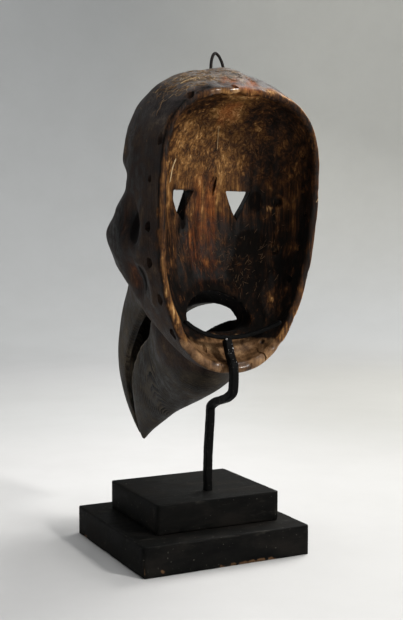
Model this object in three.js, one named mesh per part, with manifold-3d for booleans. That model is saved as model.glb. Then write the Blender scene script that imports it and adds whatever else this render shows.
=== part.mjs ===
import * as THREE from 'three';
import Module from 'manifold-3d';
import { mergeVertices } from 'three/addons/utils/BufferGeometryUtils.js';

// Beaked wooden mask on an iron rod and two black blocks. Millimetres, +Z up.
// The mask looks along -Y, and the origin is the middle of the lower block's underside.

const clearance = 0.35;

// Lower and upper block, painted wood
const lowerBlock = { width: 162, depth: 158, height: 27, corner: 2, bevel: 1.2, x: 0, y: 0 };
const upperBlock = { width: 121, depth: 108, height: 26.5, corner: 2, bevel: 1.2, x: -4, y: -1 };
const upperBlockTop = lowerBlock.height + clearance + upperBlock.height;

// Square iron rod: centre line from the foot, over the crank, to the weld under the cradle
const rodSide = 7;
const rodFootDepth = 16;
const socketPlay = 0.5;
const rodFoot = { x: -8.4, y: 20.5 };
const rodCrank = { x: -9.4, y: 23.5 };
const crankZ = 135;
const elbowZ = 152;
const rodBack = { x: -5, y: 76.3 };
const rodLean = [[75.2, 174.5], [71, 180], [67.2, 187.5], [64, 195.2]];

// Cradle arm: a flat bar bent like a smile, inside the mouth's lower edge
const armHeight = 5;
const armThick = 3.6;
const rodCorner = 1.1;
const armCorner = 0.8;
const armEnds = { halfSpan: 47.2, y: 72.5, z: 212, lift: 1.7 };
const armMiddle = { x: -7.2, y: 61, z: 197 };

// Mask frame: where it sits, its roll and its lean on the rod
const maskPlace = { x: -10.4, y: 75.5, z: 288 };
const maskRoll = -0.03;
const maskLean = -0.06;

// Rim outline, a superellipse in two halves that meet at rimMiddle
const rimHalfWidth = 77.5;
const rimMiddle = 36;
const rimUp = { reach: 86, power: 2.8 };
const rimDown = { reach: 158, power: 2.32 };
const rimBand = [[-110, 9], [10, 7], [122, 6.5]];
const rimProud = 2.4;
const poleHeight = 8;

// Outer form: how far each level stands forward, in the middle and at the sides
const outerPower = 3.5;
const crownRise = [[-75, 14], [-52, 17], [-24, 20], [0, 24.8], [24, 20.5], [52, 22.5], [75, 26]];
const crownStarts = 45;
const crownFull = 122;
const sideSwell = 0.08;
const swellDepth = 60;
const cheekSwell = { side: 4.5, up: -14, tall: 26 };
const middleDepth = [[-130, 46], [-95, 54], [-60, 64], [0, 77], [38, 76], [60, 102], [80, 108], [150, 104]];
const sideDepth = [[-130, 60], [-94, 92], [-60, 116], [-35, 142], [-10, 152], [12, 132], [32, 106],
  [44, 102], [58, 122], [80, 130], [150, 124]];
const sideStarts = 36;
const sideFull = 66;

// Carved hollows behind the cheek
const hollows = [
  { depth: 9, forward: 46, up: 4, long: 15, tall: 21 },
  { depth: 9, forward: 50, up: -45, long: 13, tall: 19 },
];

// Inner bowl
const innerPower = 2.05;
const bowlOpening = 20;
const innerDepth = [[-130, 42], [30, 63], [130, 72]];

// Beak: forward distance, height and half width along its edges, from root to tip
const upperRidge = [[58, 38], [95, 17], [150, -18], [198, -53], [231, -89], [242, -125], [237, -158],
  [221, -185], [203, -204], [187, -217]];
const upperEdge = [[50, -83, 46], [62, -80, 47], [70, -74, 47.5], [98, -71.5, 43], [130, -79, 29.5],
  [163, -100, 22.5], [186, -127, 19.5], [198, -153, 16], [196, -176, 12], [189, -198, 7.5], [186, -216.5, 2]];
const lowerEdge = [[40, -84, 40], [70, -84, 45], [91, -92, 38], [116, -106, 28.5], [140, -119, 25],
  [160, -137, 22], [174, -156, 18.5], [178.5, -176, 14], [179, -200, 8], [179.5, -219, 2]];
const lowerKeel = [[14, -122], [41, -145], [67, -159], [92, -170.5], [115, -181], [135, -192],
  [153, -202.5], [166, -211], [175, -218], [178, -222]];

// Hollow of the mouth and beak: roof, floor and half width
const mouthRoof = [[22, -62], [45, -55], [80, -56], [120, -60], [160, -76], [193, -100], [212, -130],
  [214, -160], [205, -184]];
const mouthFloor = [[20, -88, 32], [42, -92, 33], [68, -106, 35], [92, -124, 27], [116, -142, 21],
  [138, -160, 17], [155, -177, 14], [166, -192, 9.5], [173, -204, 5.5]];
const mouthWidest = 0.38;
const mouthSquare = 0.75;
const ridgeFullness = 1.05;
const keelFullness = 0.9;

// Three-cornered eyes, cut a little wider outside than inside: side and height of the corners
const leftEye = {
  inside: [[15.8, 34.4], [38, 33.6], [38.4, 25], [34, 15.5], [26.9, 7.5]],
  outside: [[18.2, 34], [43, 34], [43, 25], [37, 14], [25.5, 8.5]],
};
const rightEye = {
  inside: [[-15.6, 35], [-38.5, 35.6], [-26.6, 7.6]],
  outside: [[-18, 35], [-46.5, 35.5], [-33, 10.5]],
};
const eyeCutDepths = { start: 34, inside: 54, outside: 74, end: 100 };

// Holes for the costume, through the wall beside the rim: side, height and forward distance
const rimHoleRadius = 2.3;
const rimHoleLength = 56;
const rimHoles = [[1, 110, 4], [1, 73, 4.5], [1, 40, 13], [1, 2, 13], [1, -27, 13], [1, -58, 8], [1, -87, 6],
  [-1, 73, 14], [-1, 43, 13.5], [-1, 19, 8], [-1, -14, 12], [-1, -47, 13]];

// Hanging wire
const wireRadius = 1.4;
const wireSpread = 13.1;
const wireRise = 15.5;
const wireDepth = 8;
const wireHoleDepth = 9;
const wireFoot = { x: -16.6, y: 23, z: 432, lean: 1.9 };

// Mesh counts
const turns = 56;
const outerRings = 23;
const innerRings = 10;
const beakSteps = 16;
const archSteps = 12;
const rodSteps = 44;
const armSteps = 16;
const wireSteps = 22;

const wasm = await Module();
wasm.setup();

function toSolid(geometry) {
  const bare = geometry.clone();
  bare.deleteAttribute('normal');
  bare.deleteAttribute('uv');
  const merged = mergeVertices(bare, 1e-4);
  const vertProperties = new Float32Array(merged.attributes.position.array);
  const triVerts = new Uint32Array(merged.index.array);
  return new wasm.Manifold(new wasm.Mesh({ numProp: 3, vertProperties, triVerts }));
}

function toGeometry(solid) {
  const mesh = solid.getMesh();
  const geometry = new THREE.BufferGeometry();
  geometry.setAttribute('position', new THREE.BufferAttribute(new Float32Array(mesh.vertProperties), 3));
  geometry.setIndex(new THREE.BufferAttribute(new Uint32Array(mesh.triVerts), 1));
  geometry.computeVertexNormals();
  return geometry;
}

// Value at x on a smooth line through the [x, y] pairs
function level(pairs, x) {
  let i = 0;
  while (i < pairs.length - 2 && x > pairs[i + 1][0]) i += 1;
  const [x0, y0] = pairs[i];
  const [x1, y1] = pairs[i + 1];
  const t = THREE.MathUtils.clamp((x - x0) / (x1 - x0), 0, 1);
  return y0 + (y1 - y0) * t * t * (3 - 2 * t);
}

// A point of the mask from its side distance, forward distance and height
const maskPoint = (side, forward, up) => new THREE.Vector3(side, -forward, up);

// Closed skin over rings of equal count, with a fan over each end
function skin(rings) {
  const count = rings[0].length;
  const points = rings.flat();
  const index = [];
  for (let i = 0; i < rings.length - 1; i += 1) {
    for (let j = 0; j < count; j += 1) {
      const a = i * count + j;
      const b = i * count + ((j + 1) % count);
      index.push(a, b, b + count, a, b + count, a + count);
    }
  }
  for (const [ring, flip] of [[0, true], [rings.length - 1, false]]) {
    const middle = new THREE.Vector3();
    rings[ring].forEach((p) => middle.addScaledVector(p, 1 / count));
    const tip = points.push(middle) - 1;
    for (let j = 0; j < count; j += 1) {
      const a = ring * count + j;
      const b = ring * count + ((j + 1) % count);
      index.push(...(flip ? [b, a, tip] : [a, b, tip]));
    }
  }
  const geometry = new THREE.BufferGeometry().setFromPoints(points);
  geometry.setIndex(index);
  if (signedVolume(geometry) < 0) {
    for (let i = 0; i < index.length; i += 3) [index[i], index[i + 1]] = [index[i + 1], index[i]];
    geometry.setIndex(index);
  }
  return geometry;
}

function signedVolume(geometry) {
  const { array } = geometry.attributes.position;
  const index = geometry.index.array;
  const corner = (i) => new THREE.Vector3().fromArray(array, index[i] * 3);
  let volume = 0;
  for (let i = 0; i < index.length; i += 3) {
    volume += corner(i).dot(corner(i + 1).cross(corner(i + 2))) / 6;
  }
  return volume;
}

const power = (value, exponent) => Math.sign(value) * Math.abs(value) ** exponent;

// Outline of the rim from behind, as evenly spaced points
function rimOutline() {
  const points = [];
  for (let i = 0; i <= 240; i += 1) {
    const angle = (i / 120) * Math.PI;
    const half = i <= 120 ? rimUp : rimDown;
    points.push(new THREE.Vector2(
      rimHalfWidth * power(Math.cos(angle), 2 / half.power),
      rimMiddle + half.reach * power(Math.sin(angle), 2 / half.power),
    ));
  }
  return new THREE.Path(points).getSpacedPoints(turns).slice(0, turns);
}

const rimLine = rimOutline();

// Outer surface: share is 1 at the rim and 0 at the pole
function outerPoint(rim, share) {
  let side = rim.x * share;
  let up = poleHeight + (rim.y - poleHeight) * share;
  const toSide = THREE.MathUtils.smoothstep(Math.abs(side), sideStarts, sideFull);
  const depth = THREE.MathUtils.lerp(level(middleDepth, up), level(sideDepth, up), toSide);
  const forward = depth * (1 - share ** outerPower) ** (1 / outerPower);
  const swell = Math.sin((Math.PI / 2) * Math.min(1, forward / swellDepth));
  for (const hollow of hollows) {
    const away = ((forward - hollow.forward) / hollow.long) ** 2 + ((up - hollow.up) / hollow.tall) ** 2;
    side -= Math.sign(side) * toSide * hollow.depth * Math.exp(-away);
  }
  const cheek = Math.exp(-(((up - cheekSwell.up) / cheekSwell.tall) ** 2));
  side += toSide * Math.sign(side) * swell * cheekSwell.side * cheek;
  side *= 1 + sideSwell * swell;
  const toCrown = THREE.MathUtils.clamp((up - crownStarts) / (crownFull - crownStarts), 0, 1);
  up += level(crownRise, side) * swell * toCrown ** 1.5;
  return maskPoint(side, forward, up);
}

// Share of the way from the pole at which the bowl's edge lies
const bowlShare = (rim) => 1 - level(rimBand, rim.y) / Math.hypot(rim.x, rim.y - poleHeight);

function innerPoint(rim, share) {
  const reach = share * bowlShare(rim);
  const side = rim.x * reach;
  const up = poleHeight + (rim.y - poleHeight) * reach;
  const forward = level(innerDepth, up) * (1 - share ** innerPower) ** (1 / innerPower);
  return maskPoint(side, forward, up);
}

// Shares spread so that rings are close at the rim and at the pole
function shares(count) {
  return Array.from({ length: count }, (_, i) => {
    const x = (i + 1) / (count + 1);
    return Math.cos((Math.PI / 2) * x * x * (3 - 2 * x)) ** (2 / 3);
  });
}

function maskShell() {
  const outer = shares(outerRings).map((share) => rimLine.map((rim) => outerPoint(rim, share)));
  const inner = shares(innerRings).map((share) => rimLine.map((rim) => innerPoint(rim, share)));
  const band = [0, 0.15, 0.5, 0.85, 1].map((across) => rimLine.map((rim) => {
    const share = THREE.MathUtils.lerp(1, bowlShare(rim), across);
    const proud = rimProud * Math.sqrt(Math.sin(Math.PI * across));
    return maskPoint(rim.x * share, -proud, poleHeight + (rim.y - poleHeight) * share);
  }));
  return toSolid(skin([...outer.reverse(), ...band, ...inner]));
}

// Smooth line through [forward, up, half width] points; the half width rides in x
const edge = (points) => new THREE.CatmullRomCurve3(
  points.map(([forward, up, half = 0]) => maskPoint(half, forward, up)),
);

// One mandible: arches from the cutting edge over the ridge or keel
function mandible(cutting, crest, fullness) {
  const low = edge(cutting);
  const high = edge(crest);
  const rings = [];
  for (let i = 0; i <= beakSteps; i += 1) {
    const base = low.getPoint(i / beakSteps);
    const top = high.getPoint(i / beakSteps);
    const ring = [];
    for (let j = 0; j <= archSteps; j += 1) {
      const angle = (Math.PI * j) / archSteps;
      const rise = Math.abs(Math.sin(angle)) ** fullness;
      const side = base.x * Math.cos(angle);
      ring.push(new THREE.Vector3(side, 0, 0)
        .add(new THREE.Vector3(0, base.y, base.z).multiplyScalar(1 - rise))
        .add(new THREE.Vector3(0, top.y, top.z).multiplyScalar(rise)));
    }
    rings.push(ring);
  }
  return toSolid(skin(rings));
}

function mouthHollow() {
  const roof = edge(mouthRoof);
  const floor = edge(mouthFloor);
  const rings = [];
  for (let i = 0; i <= beakSteps; i += 1) {
    const top = roof.getPoint(i / beakSteps);
    const base = floor.getPoint(i / beakSteps);
    const half = base.x;
    const ring = [];
    for (let j = 0; j < archSteps * 2; j += 1) {
      const angle = (Math.PI * j) / archSteps;
      const lift = Math.sin(angle);
      const reach = lift > 0 ? 1 - mouthWidest : mouthWidest;
      const share = mouthWidest + reach * (lift > 0 ? lift : power(lift, mouthSquare));
      const side = half * power(Math.cos(angle), lift > 0 ? 1 : mouthSquare);
      ring.push(new THREE.Vector3(
        side,
        THREE.MathUtils.lerp(base.y, top.y, share),
        THREE.MathUtils.lerp(base.z, top.z, share),
      ));
    }
    rings.push(ring);
  }
  return toSolid(skin(rings));
}

function eyeCut(eye) {
  const { start, inside, outside, end } = eyeCutDepths;
  const ring = (corners, forward) => corners.map(([side, up]) => maskPoint(side, forward, up));
  return toSolid(skin([
    ring(eye.inside, start), ring(eye.inside, inside), ring(eye.outside, outside), ring(eye.outside, end),
  ]));
}

function rimHole([sign, up, forward]) {
  const half = up >= rimMiddle ? rimUp : rimDown;
  const level01 = Math.abs(up - rimMiddle) / half.reach;
  const side = sign * rimHalfWidth * (1 - level01 ** half.power) ** (1 / half.power);
  const outward = new THREE.Vector3(side, 0, up - poleHeight).normalize();
  const geometry = new THREE.CylinderGeometry(rimHoleRadius, rimHoleRadius, rimHoleLength, 8);
  geometry.applyQuaternion(new THREE.Quaternion().setFromUnitVectors(new THREE.Vector3(0, 1, 0), outward));
  geometry.translate(side, -forward, up);
  return toSolid(geometry);
}

// Bar swept along a smooth line
function swept(section, points, steps) {
  const path = new THREE.CatmullRomCurve3(points, false, 'centripetal');
  return new THREE.ExtrudeGeometry(section, {
    steps, curveSegments: 4, extrudePath: path, bevelEnabled: false,
  });
}

// Bar section with its corners taken off
function barSection(width, height, corner) {
  const x = width / 2;
  const y = height / 2;
  return new THREE.Shape([
    new THREE.Vector2(-x + corner, -y), new THREE.Vector2(x - corner, -y),
    new THREE.Vector2(x, -y + corner), new THREE.Vector2(x, y - corner),
    new THREE.Vector2(x - corner, y), new THREE.Vector2(-x + corner, y),
    new THREE.Vector2(-x, y - corner), new THREE.Vector2(-x, -y + corner),
  ]);
}

function roundedRectangle(width, height, corner) {
  const x = width / 2;
  const y = height / 2;
  const shape = new THREE.Shape();
  shape.moveTo(-x + corner, -y);
  shape.lineTo(x - corner, -y);
  shape.absarc(x - corner, -y + corner, corner, -Math.PI / 2, 0);
  shape.lineTo(x, y - corner);
  shape.absarc(x - corner, y - corner, corner, 0, Math.PI / 2);
  shape.lineTo(-x + corner, y);
  shape.absarc(-x + corner, y - corner, corner, Math.PI / 2, Math.PI);
  shape.lineTo(-x, -y + corner);
  shape.absarc(-x + corner, -y + corner, corner, Math.PI, Math.PI * 1.5);
  return shape;
}

// Hairpin loop with both legs going down into the crown
function wireGeometry(radius, depth) {
  const loop = [];
  for (let i = 0; i <= 8; i += 1) {
    const angle = (Math.PI * i) / 8;
    const half = (wireSpread / 2) * (1 - 0.25 * Math.sin(angle));
    loop.push(new THREE.Vector3(
      wireFoot.x - half * Math.cos(angle) + wireFoot.lean * Math.sin(angle),
      wireFoot.y,
      wireFoot.z + wireRise * Math.sin(angle) ** 0.8,
    ));
  }
  const down = new THREE.Vector3(0, 0, -depth);
  const points = [loop[0].clone().add(down), ...loop, loop[8].clone().add(down)];
  return swept(new THREE.Shape().absarc(0, 0, radius, 0, Math.PI * 2), points, wireSteps);
}

const maskMatrix = new THREE.Matrix4().compose(
  new THREE.Vector3(maskPlace.x, maskPlace.y, maskPlace.z),
  new THREE.Quaternion().setFromEuler(new THREE.Euler(maskLean, maskRoll, 0, 'YXZ')),
  new THREE.Vector3(1, 1, 1),
);

function maskGeometry() {
  let body = maskShell()
    .add(mandible(upperEdge, upperRidge, ridgeFullness))
    .add(mandible(lowerEdge, lowerKeel, keelFullness));
  const bowlEdge = rimLine.map((rim) => innerPoint(rim, 1).setY(bowlOpening));
  const bowl = [1, ...shares(innerRings)].map((share) => rimLine.map((rim) => innerPoint(rim, share)));
  body = body.subtract(toSolid(skin([bowlEdge, ...bowl]))).subtract(mouthHollow());
  for (const eye of [leftEye, rightEye]) body = body.subtract(eyeCut(eye));
  for (const hole of rimHoles) body = body.subtract(rimHole(hole));
  const wireHoles = wireGeometry(wireRadius + clearance, wireHoleDepth);
  wireHoles.applyMatrix4(maskMatrix.clone().invert());
  body = body.subtract(toSolid(wireHoles));
  return toGeometry(body);
}

function blockGeometry({ width, depth, height, corner, bevel }) {
  const outline = roundedRectangle(width - 2 * bevel, depth - 2 * bevel, corner);
  const geometry = new THREE.ExtrudeGeometry(outline, {
    depth: height - 2 * bevel, bevelThickness: bevel, bevelSize: bevel, bevelSegments: 2, curveSegments: 3,
  });
  geometry.translate(0, 0, bevel);
  return geometry;
}

function rodPoints() {
  const { x, y } = rodFoot;
  return [
    new THREE.Vector3(x, y, upperBlockTop - rodFootDepth),
    new THREE.Vector3(x, y, 80),
    new THREE.Vector3(rodCrank.x, rodCrank.y, crankZ - 12),
    new THREE.Vector3(rodCrank.x, rodCrank.y + 1, crankZ - 4),
    new THREE.Vector3(rodCrank.x, rodCrank.y + 9, crankZ + 1),
    new THREE.Vector3(rodBack.x, rodBack.y - 10.5, elbowZ - 6.5),
    new THREE.Vector3(rodBack.x, rodBack.y - 2, elbowZ - 1),
    new THREE.Vector3(rodBack.x, rodBack.y, elbowZ + 8),
    new THREE.Vector3(rodBack.x, rodBack.y, elbowZ + 18),
    ...rodLean.map(([y, z]) => new THREE.Vector3(rodBack.x, y, z)),
  ];
}

function armPoints() {
  const points = [];
  for (let i = -4; i <= 4; i += 1) {
    const share = i / 4;
    points.push(new THREE.Vector3(
      armMiddle.x + armEnds.halfSpan * share,
      THREE.MathUtils.lerp(armMiddle.y, armEnds.y, share * share),
      THREE.MathUtils.lerp(armMiddle.z, armEnds.z, share * share) + armEnds.lift * share,
    ));
  }
  return points;
}

const carvedWood = new THREE.MeshStandardMaterial({ color: 0x3a2c22, roughness: 0.75, metalness: 0 });
const blackPaint = new THREE.MeshStandardMaterial({ color: 0x1b1b1c, roughness: 0.8, metalness: 0 });
const blackIron = new THREE.MeshStandardMaterial({ color: 0x1d1d20, roughness: 0.6, metalness: 0.8 });
const wireIron = new THREE.MeshStandardMaterial({ color: 0x2a2725, roughness: 0.65, metalness: 0.8 });

function named(name, geometry, material) {
  const mesh = new THREE.Mesh(geometry, material);
  mesh.name = name;
  return mesh;
}

const group = new THREE.Group();

const lower = named('lower_block', blockGeometry(lowerBlock), blackPaint);
lower.position.set(lowerBlock.x, lowerBlock.y, 0);

const socketSide = rodSide + 2 * socketPlay;
const socket = new THREE.BoxGeometry(socketSide, socketSide, 2 * (rodFootDepth + clearance));
socket.translate(rodFoot.x - upperBlock.x, rodFoot.y - upperBlock.y, upperBlock.height);
const upperSolid = toSolid(blockGeometry(upperBlock)).subtract(toSolid(socket));
const upper = named('upper_block', toGeometry(upperSolid), blackPaint.clone());
upper.position.set(upperBlock.x, upperBlock.y, lowerBlock.height + clearance);

const rodSection = barSection(rodSide, rodSide, rodCorner);
const rod = named('support_bar', swept(rodSection, rodPoints(), rodSteps), blackIron);
const armSection = barSection(armHeight, armThick, armCorner);
const arm = named('cradle_arm', swept(armSection, armPoints(), armSteps), blackIron.clone());

const mask = named('mask', maskGeometry(), carvedWood);
mask.applyMatrix4(maskMatrix);

const wire = named('hanging_wire', wireGeometry(wireRadius, wireDepth), wireIron);

group.add(lower, upper, rod, arm, mask, wire);

export default group;
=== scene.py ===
import math

import bpy
import numpy as np
from mathutils import Matrix, Vector
from mathutils.bvhtree import BVHTree


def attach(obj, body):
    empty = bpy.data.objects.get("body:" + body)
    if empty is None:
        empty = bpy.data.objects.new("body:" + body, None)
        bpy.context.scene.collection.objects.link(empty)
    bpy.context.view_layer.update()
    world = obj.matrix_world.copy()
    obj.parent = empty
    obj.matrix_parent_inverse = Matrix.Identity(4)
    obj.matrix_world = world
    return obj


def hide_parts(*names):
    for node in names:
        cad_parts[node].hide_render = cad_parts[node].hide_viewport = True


# Beaked wooden mask on an iron rod and two black blocks. Sizes are in millimetres, apart
# from the grain's and the studio's. The mask looks along -Y and its hollow faces +Y.

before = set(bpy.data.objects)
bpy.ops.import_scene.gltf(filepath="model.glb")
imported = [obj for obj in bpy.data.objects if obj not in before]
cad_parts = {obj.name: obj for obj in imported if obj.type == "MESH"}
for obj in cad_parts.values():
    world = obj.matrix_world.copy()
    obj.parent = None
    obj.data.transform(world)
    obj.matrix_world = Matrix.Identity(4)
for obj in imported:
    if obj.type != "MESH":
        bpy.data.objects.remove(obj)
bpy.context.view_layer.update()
mm = 0.001
rng = np.random.default_rng(7)


# Camera

camera = {
    "place": (422.07, 867.24, 281.88),
    "azimuth": 153.398,
    "elevation": 3.81,
    "lens": 61.16,
    "sensor": 36,
}


def cameraAxes():
    a = math.radians(camera["azimuth"])
    e = math.radians(camera["elevation"])
    back = Vector((math.sin(a) * math.cos(e), -math.cos(a) * math.cos(e), math.sin(e)))
    right = Vector((0, 0, 1)).cross(back).normalized()
    return right, back.cross(right), back


def makeCamera():
    data = bpy.data.cameras.new("camera")
    data.lens = camera["lens"]
    data.sensor_width = camera["sensor"]
    data.clip_start = 0.05
    data.clip_end = 50
    right, up, back = cameraAxes()
    turn = Matrix((right, up, back)).transposed().to_4x4()
    cam = bpy.data.objects.new("camera", data)
    cam.matrix_world = Matrix.Translation(Vector(camera["place"]) * mm) @ turn
    bpy.context.scene.collection.objects.link(cam)
    bpy.context.scene.camera = cam


makeCamera()
print("camera placed")


# Small tools for numbers and meshes

def level(pairs, x):
    # value at x on a smooth line through the (x, y) pairs
    xs = np.array([p[0] for p in pairs], float)
    ys = np.array([p[1] for p in pairs], float)
    i = np.clip(np.searchsorted(xs, x) - 1, 0, len(xs) - 2)
    t = np.clip((x - xs[i]) / (xs[i + 1] - xs[i]), 0, 1)
    return ys[i] + (ys[i + 1] - ys[i]) * t * t * (3 - 2 * t)


def ease(x, low, high):
    t = np.clip((x - low) / (high - low), 0, 1)
    return t * t * (3 - 2 * t)


def power(value, exponent):
    return np.sign(value) * np.abs(value) ** exponent


def grainNoise(points, size, seed=0):
    # smooth noise from -1 to 1; size is one number or one for each axis
    p = points / np.asarray(size, float) + seed * 13.7
    cell = np.floor(p).astype(np.int64)
    f = p - cell
    f = f * f * (3 - 2 * f)
    total = np.zeros(len(p))
    for corner in np.ndindex(2, 2, 2):
        c = cell + np.array(corner)
        h = (c[:, 0] * 73856093) ^ (c[:, 1] * 19349663) ^ (c[:, 2] * 83492791)
        h = (h ^ (h >> 13)) * 1274126177 & 0x7FFFFFFF
        h = ((h ^ (h >> 15)) & 0xFFFF) / 65535
        total += h * np.prod(np.where(corner, f, 1 - f), axis=1)
    return total * 2 - 1


def smoothLine(points, count):
    # evenly counted points on a centripetal line through the given ones
    p = np.array(points, float)
    p = np.vstack([2 * p[0] - p[1], p, 2 * p[-1] - p[-2]])
    at = np.linspace(0, len(points) - 1, count)
    i = np.minimum(at.astype(int), len(points) - 2)
    t = (at - i)[:, None]
    a, b, c, d = p[i], p[i + 1], p[i + 2], p[i + 3]
    ab, bc, cd = (np.sqrt(np.linalg.norm(q, axis=1))[:, None] for q in (b - a, c - b, d - c))
    m1 = ((b - a) / ab - (c - a) / (ab + bc) + (c - b) / bc) * bc
    m2 = ((c - b) / bc - (d - b) / (bc + cd) + (d - c) / cd) * bc
    return b + m1 * t + (3 * (c - b) - 2 * m1 - m2) * t**2 + (2 * (b - c) + m1 + m2) * t**3


def lengthAlong(path):
    # distance from the start, measured along the path
    return np.concatenate([[0], np.cumsum(np.linalg.norm(np.diff(path, axis=0), axis=1))])


def unit(rows):
    # each row scaled to length 1
    return rows / np.linalg.norm(rows, axis=1)[:, None]


def newPiece(name, vertices, faces):
    mesh = bpy.data.meshes.new(name)
    mesh.from_pydata([tuple(v) for v in np.asarray(vertices)], [], faces)
    mesh.update()
    piece = bpy.data.objects.new(name, mesh)
    bpy.context.scene.collection.objects.link(piece)
    return piece


def ringFaces(rings, count, capped=True):
    faces = []
    for i in range(rings - 1):
        for j in range(count):
            k = (j + 1) % count
            faces.append((i * count + j, i * count + k, (i + 1) * count + k, (i + 1) * count + j))
    if capped:
        faces.append(tuple(reversed(range(count))))
        faces.append(tuple(range((rings - 1) * count, rings * count)))
    return faces


def faceOutward(piece):
    mesh = piece.data
    mesh.calc_loop_triangles()
    co = readPoints(mesh)
    tri = np.zeros(len(mesh.loop_triangles) * 3, np.int32)
    mesh.loop_triangles.foreach_get("vertices", tri)
    a, b, c = (co[tri.reshape(-1, 3)[:, k]] for k in range(3))
    if np.einsum("ij,ij->i", a, np.cross(b, c)).sum() < 0:
        mesh.flip_normals()
    return piece


def readPoints(mesh, kind="co"):
    values = np.zeros(len(mesh.vertices) * 3, np.float32)
    mesh.vertices.foreach_get(kind, values)
    return values.reshape(-1, 3).astype(float)


def writePoints(mesh, points):
    mesh.vertices.foreach_set("co", points.astype(np.float32).ravel())
    mesh.update()


def skin(name, rings):
    # closed skin over an array of rings; each end is closed by a fan to its middle
    rings = np.asarray(rings)
    count = rings.shape[1]
    points = np.vstack([rings.reshape(-1, 3), rings[0].mean(0), rings[-1].mean(0)])
    faces = ringFaces(len(rings), count, capped=False)
    first, last = len(points) - 2, len(points) - 1
    base = (len(rings) - 1) * count
    for j in range(count):
        k = (j + 1) % count
        faces.append((k, j, first))
        faces.append((base + j, base + k, last))
    return faceOutward(newPiece(name, points, faces))


def modify(piece, kind, **settings):
    # one modifier, applied at once
    step = piece.modifiers.new("step", kind)
    for name, value in settings.items():
        setattr(step, name, value)
    graph = bpy.context.evaluated_depsgraph_get()
    mesh = bpy.data.meshes.new_from_object(piece.evaluated_get(graph))
    piece.modifiers.clear()
    old = piece.data
    piece.data = mesh
    bpy.data.meshes.remove(old)


def combine(piece, other, operation):
    modify(piece, "BOOLEAN", operation=operation, solver="MANIFOLD", object=other)
    bpy.data.objects.remove(other)


def thin(piece, triangles):
    # fewer faces where the surface is flat
    piece.data.calc_loop_triangles()
    modify(piece, "DECIMATE", ratio=min(1.0, triangles / len(piece.data.loop_triangles)))
    piece.data.validate()


def surfaceOf(piece):
    # search tree for the nearest place on a piece
    return BVHTree.FromPolygons([v.co for v in piece.data.vertices], [f.vertices for f in piece.data.polygons])


def nearest(surface, place):
    spot, normal, index, gap = surface.find_nearest(Vector(place))
    return np.array(spot), np.array(normal)


def setMask(mesh, name, values):
    layer = mesh.attributes.new(name, "FLOAT", "POINT")
    layer.data.foreach_set("value", np.clip(values, 0, 1).astype(np.float32))


def finishPiece(piece, material, node=None, sharp=40):
    mesh = piece.data
    mesh.shade_smooth()
    mesh.set_sharp_from_angle(angle=math.radians(sharp))
    mesh.materials.clear()
    mesh.materials.append(material)
    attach(piece, "root")
    if node:
        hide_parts(node)


# Small tools for materials

def tone(r, g, b):
    # a colour named by its 0 to 255 screen values
    def linear(v):
        v /= 255
        return v / 12.92 if v <= 0.04045 else ((v + 0.055) / 1.055) ** 2.4
    return (linear(r), linear(g), linear(b), 1)


class Nodes:
    def __init__(self, name):
        self.material = bpy.data.materials.new(name)
        self.material.use_nodes = True
        self.tree = self.material.node_tree
        self.place = self.add("TexCoord").outputs["Object"]

    def fill(self, node, values):
        for name, value in values.items():
            if isinstance(value, bpy.types.NodeSocket):
                self.tree.links.new(value, node.inputs[name])
            else:
                node.inputs[name].default_value = value

    def add(self, kind, values=None, **settings):
        node = self.tree.nodes.new("ShaderNode" + kind)
        for name, value in settings.items():
            setattr(node, name, value)
        self.fill(node, values or {})
        return node

    def mask(self, name):
        return self.add("Attribute", attribute_name=name).outputs["Fac"]

    def stretch(self, scale, turn=(0, 0, 0), offset=(0, 0, 0)):
        values = {"Scale": scale, "Rotation": turn, "Location": offset, "Vector": self.place}
        return self.add("Mapping", values).outputs["Vector"]

    def noise(self, scale, detail=4, rough=0.55, where=None, bend=0):
        values = {"Scale": scale, "Detail": detail, "Roughness": rough, "Distortion": bend,
                  "Vector": where or self.place}
        return self.add("TexNoise", values).outputs["Fac"]

    def rings(self, period, where, bend):
        # growth rings round the upright line through the mapped origin
        values = {"Scale": 2 * math.pi / 20 / period, "Distortion": bend, "Detail": 3, "Detail Scale": 1.2,
                  "Vector": where}
        node = self.add("TexWave", values, wave_type="RINGS", rings_direction="Z", wave_profile="SAW")
        return node.outputs["Fac"]

    def between(self, value, low, high, start=0, stop=1):
        values = {"Value": value, "From Min": low, "From Max": high, "To Min": start, "To Max": stop}
        return self.add("MapRange", values, interpolation_type="SMOOTHSTEP").outputs["Result"]

    def calculate(self, kind, a, b):
        return self.add("Math", {0: a, 1: b}, operation=kind).outputs["Value"]

    def plus(self, total, *others):
        for other in others:
            total = self.calculate("ADD", total, other)
        return total

    def times(self, a, b):
        return self.calculate("MULTIPLY", a, b)

    def swing(self, noise, amount):
        # noise that swings to both sides of zero
        return self.times(self.calculate("SUBTRACT", noise, 0.5), amount)

    def mix(self, share, a, b):
        node = self.add("Mix", {"Factor": share, "A": a, "B": b}, data_type="RGBA")
        return next(s for s in node.outputs if s.type == "RGBA")

    def ramp(self, value, stops):
        # each stop is a place from 0 to 1 and a colour in screen values
        node = self.add("ValToRGB", {"Fac": value})
        line = node.color_ramp.elements
        while len(line) < len(stops):
            line.new(0.5)
        for element, (at, *colour) in zip(line, stops):
            element.position = at
            element.color = tone(*colour)
        return node.outputs["Color"]

    def bump(self, height, depth, strength, below=None):
        values = {"Strength": strength, "Distance": depth, "Height": height}
        if below:
            values["Normal"] = below
        return self.add("Bump", values).outputs["Normal"]

    def finish(self, colour, rough, normal, others):
        values = {"Base Color": colour, "Roughness": rough, "Normal": normal, **others}
        self.fill(self.tree.nodes["Principled BSDF"], values)
        return self.material


# Mask: its place on the rod and the forms that it shares with the solid

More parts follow.
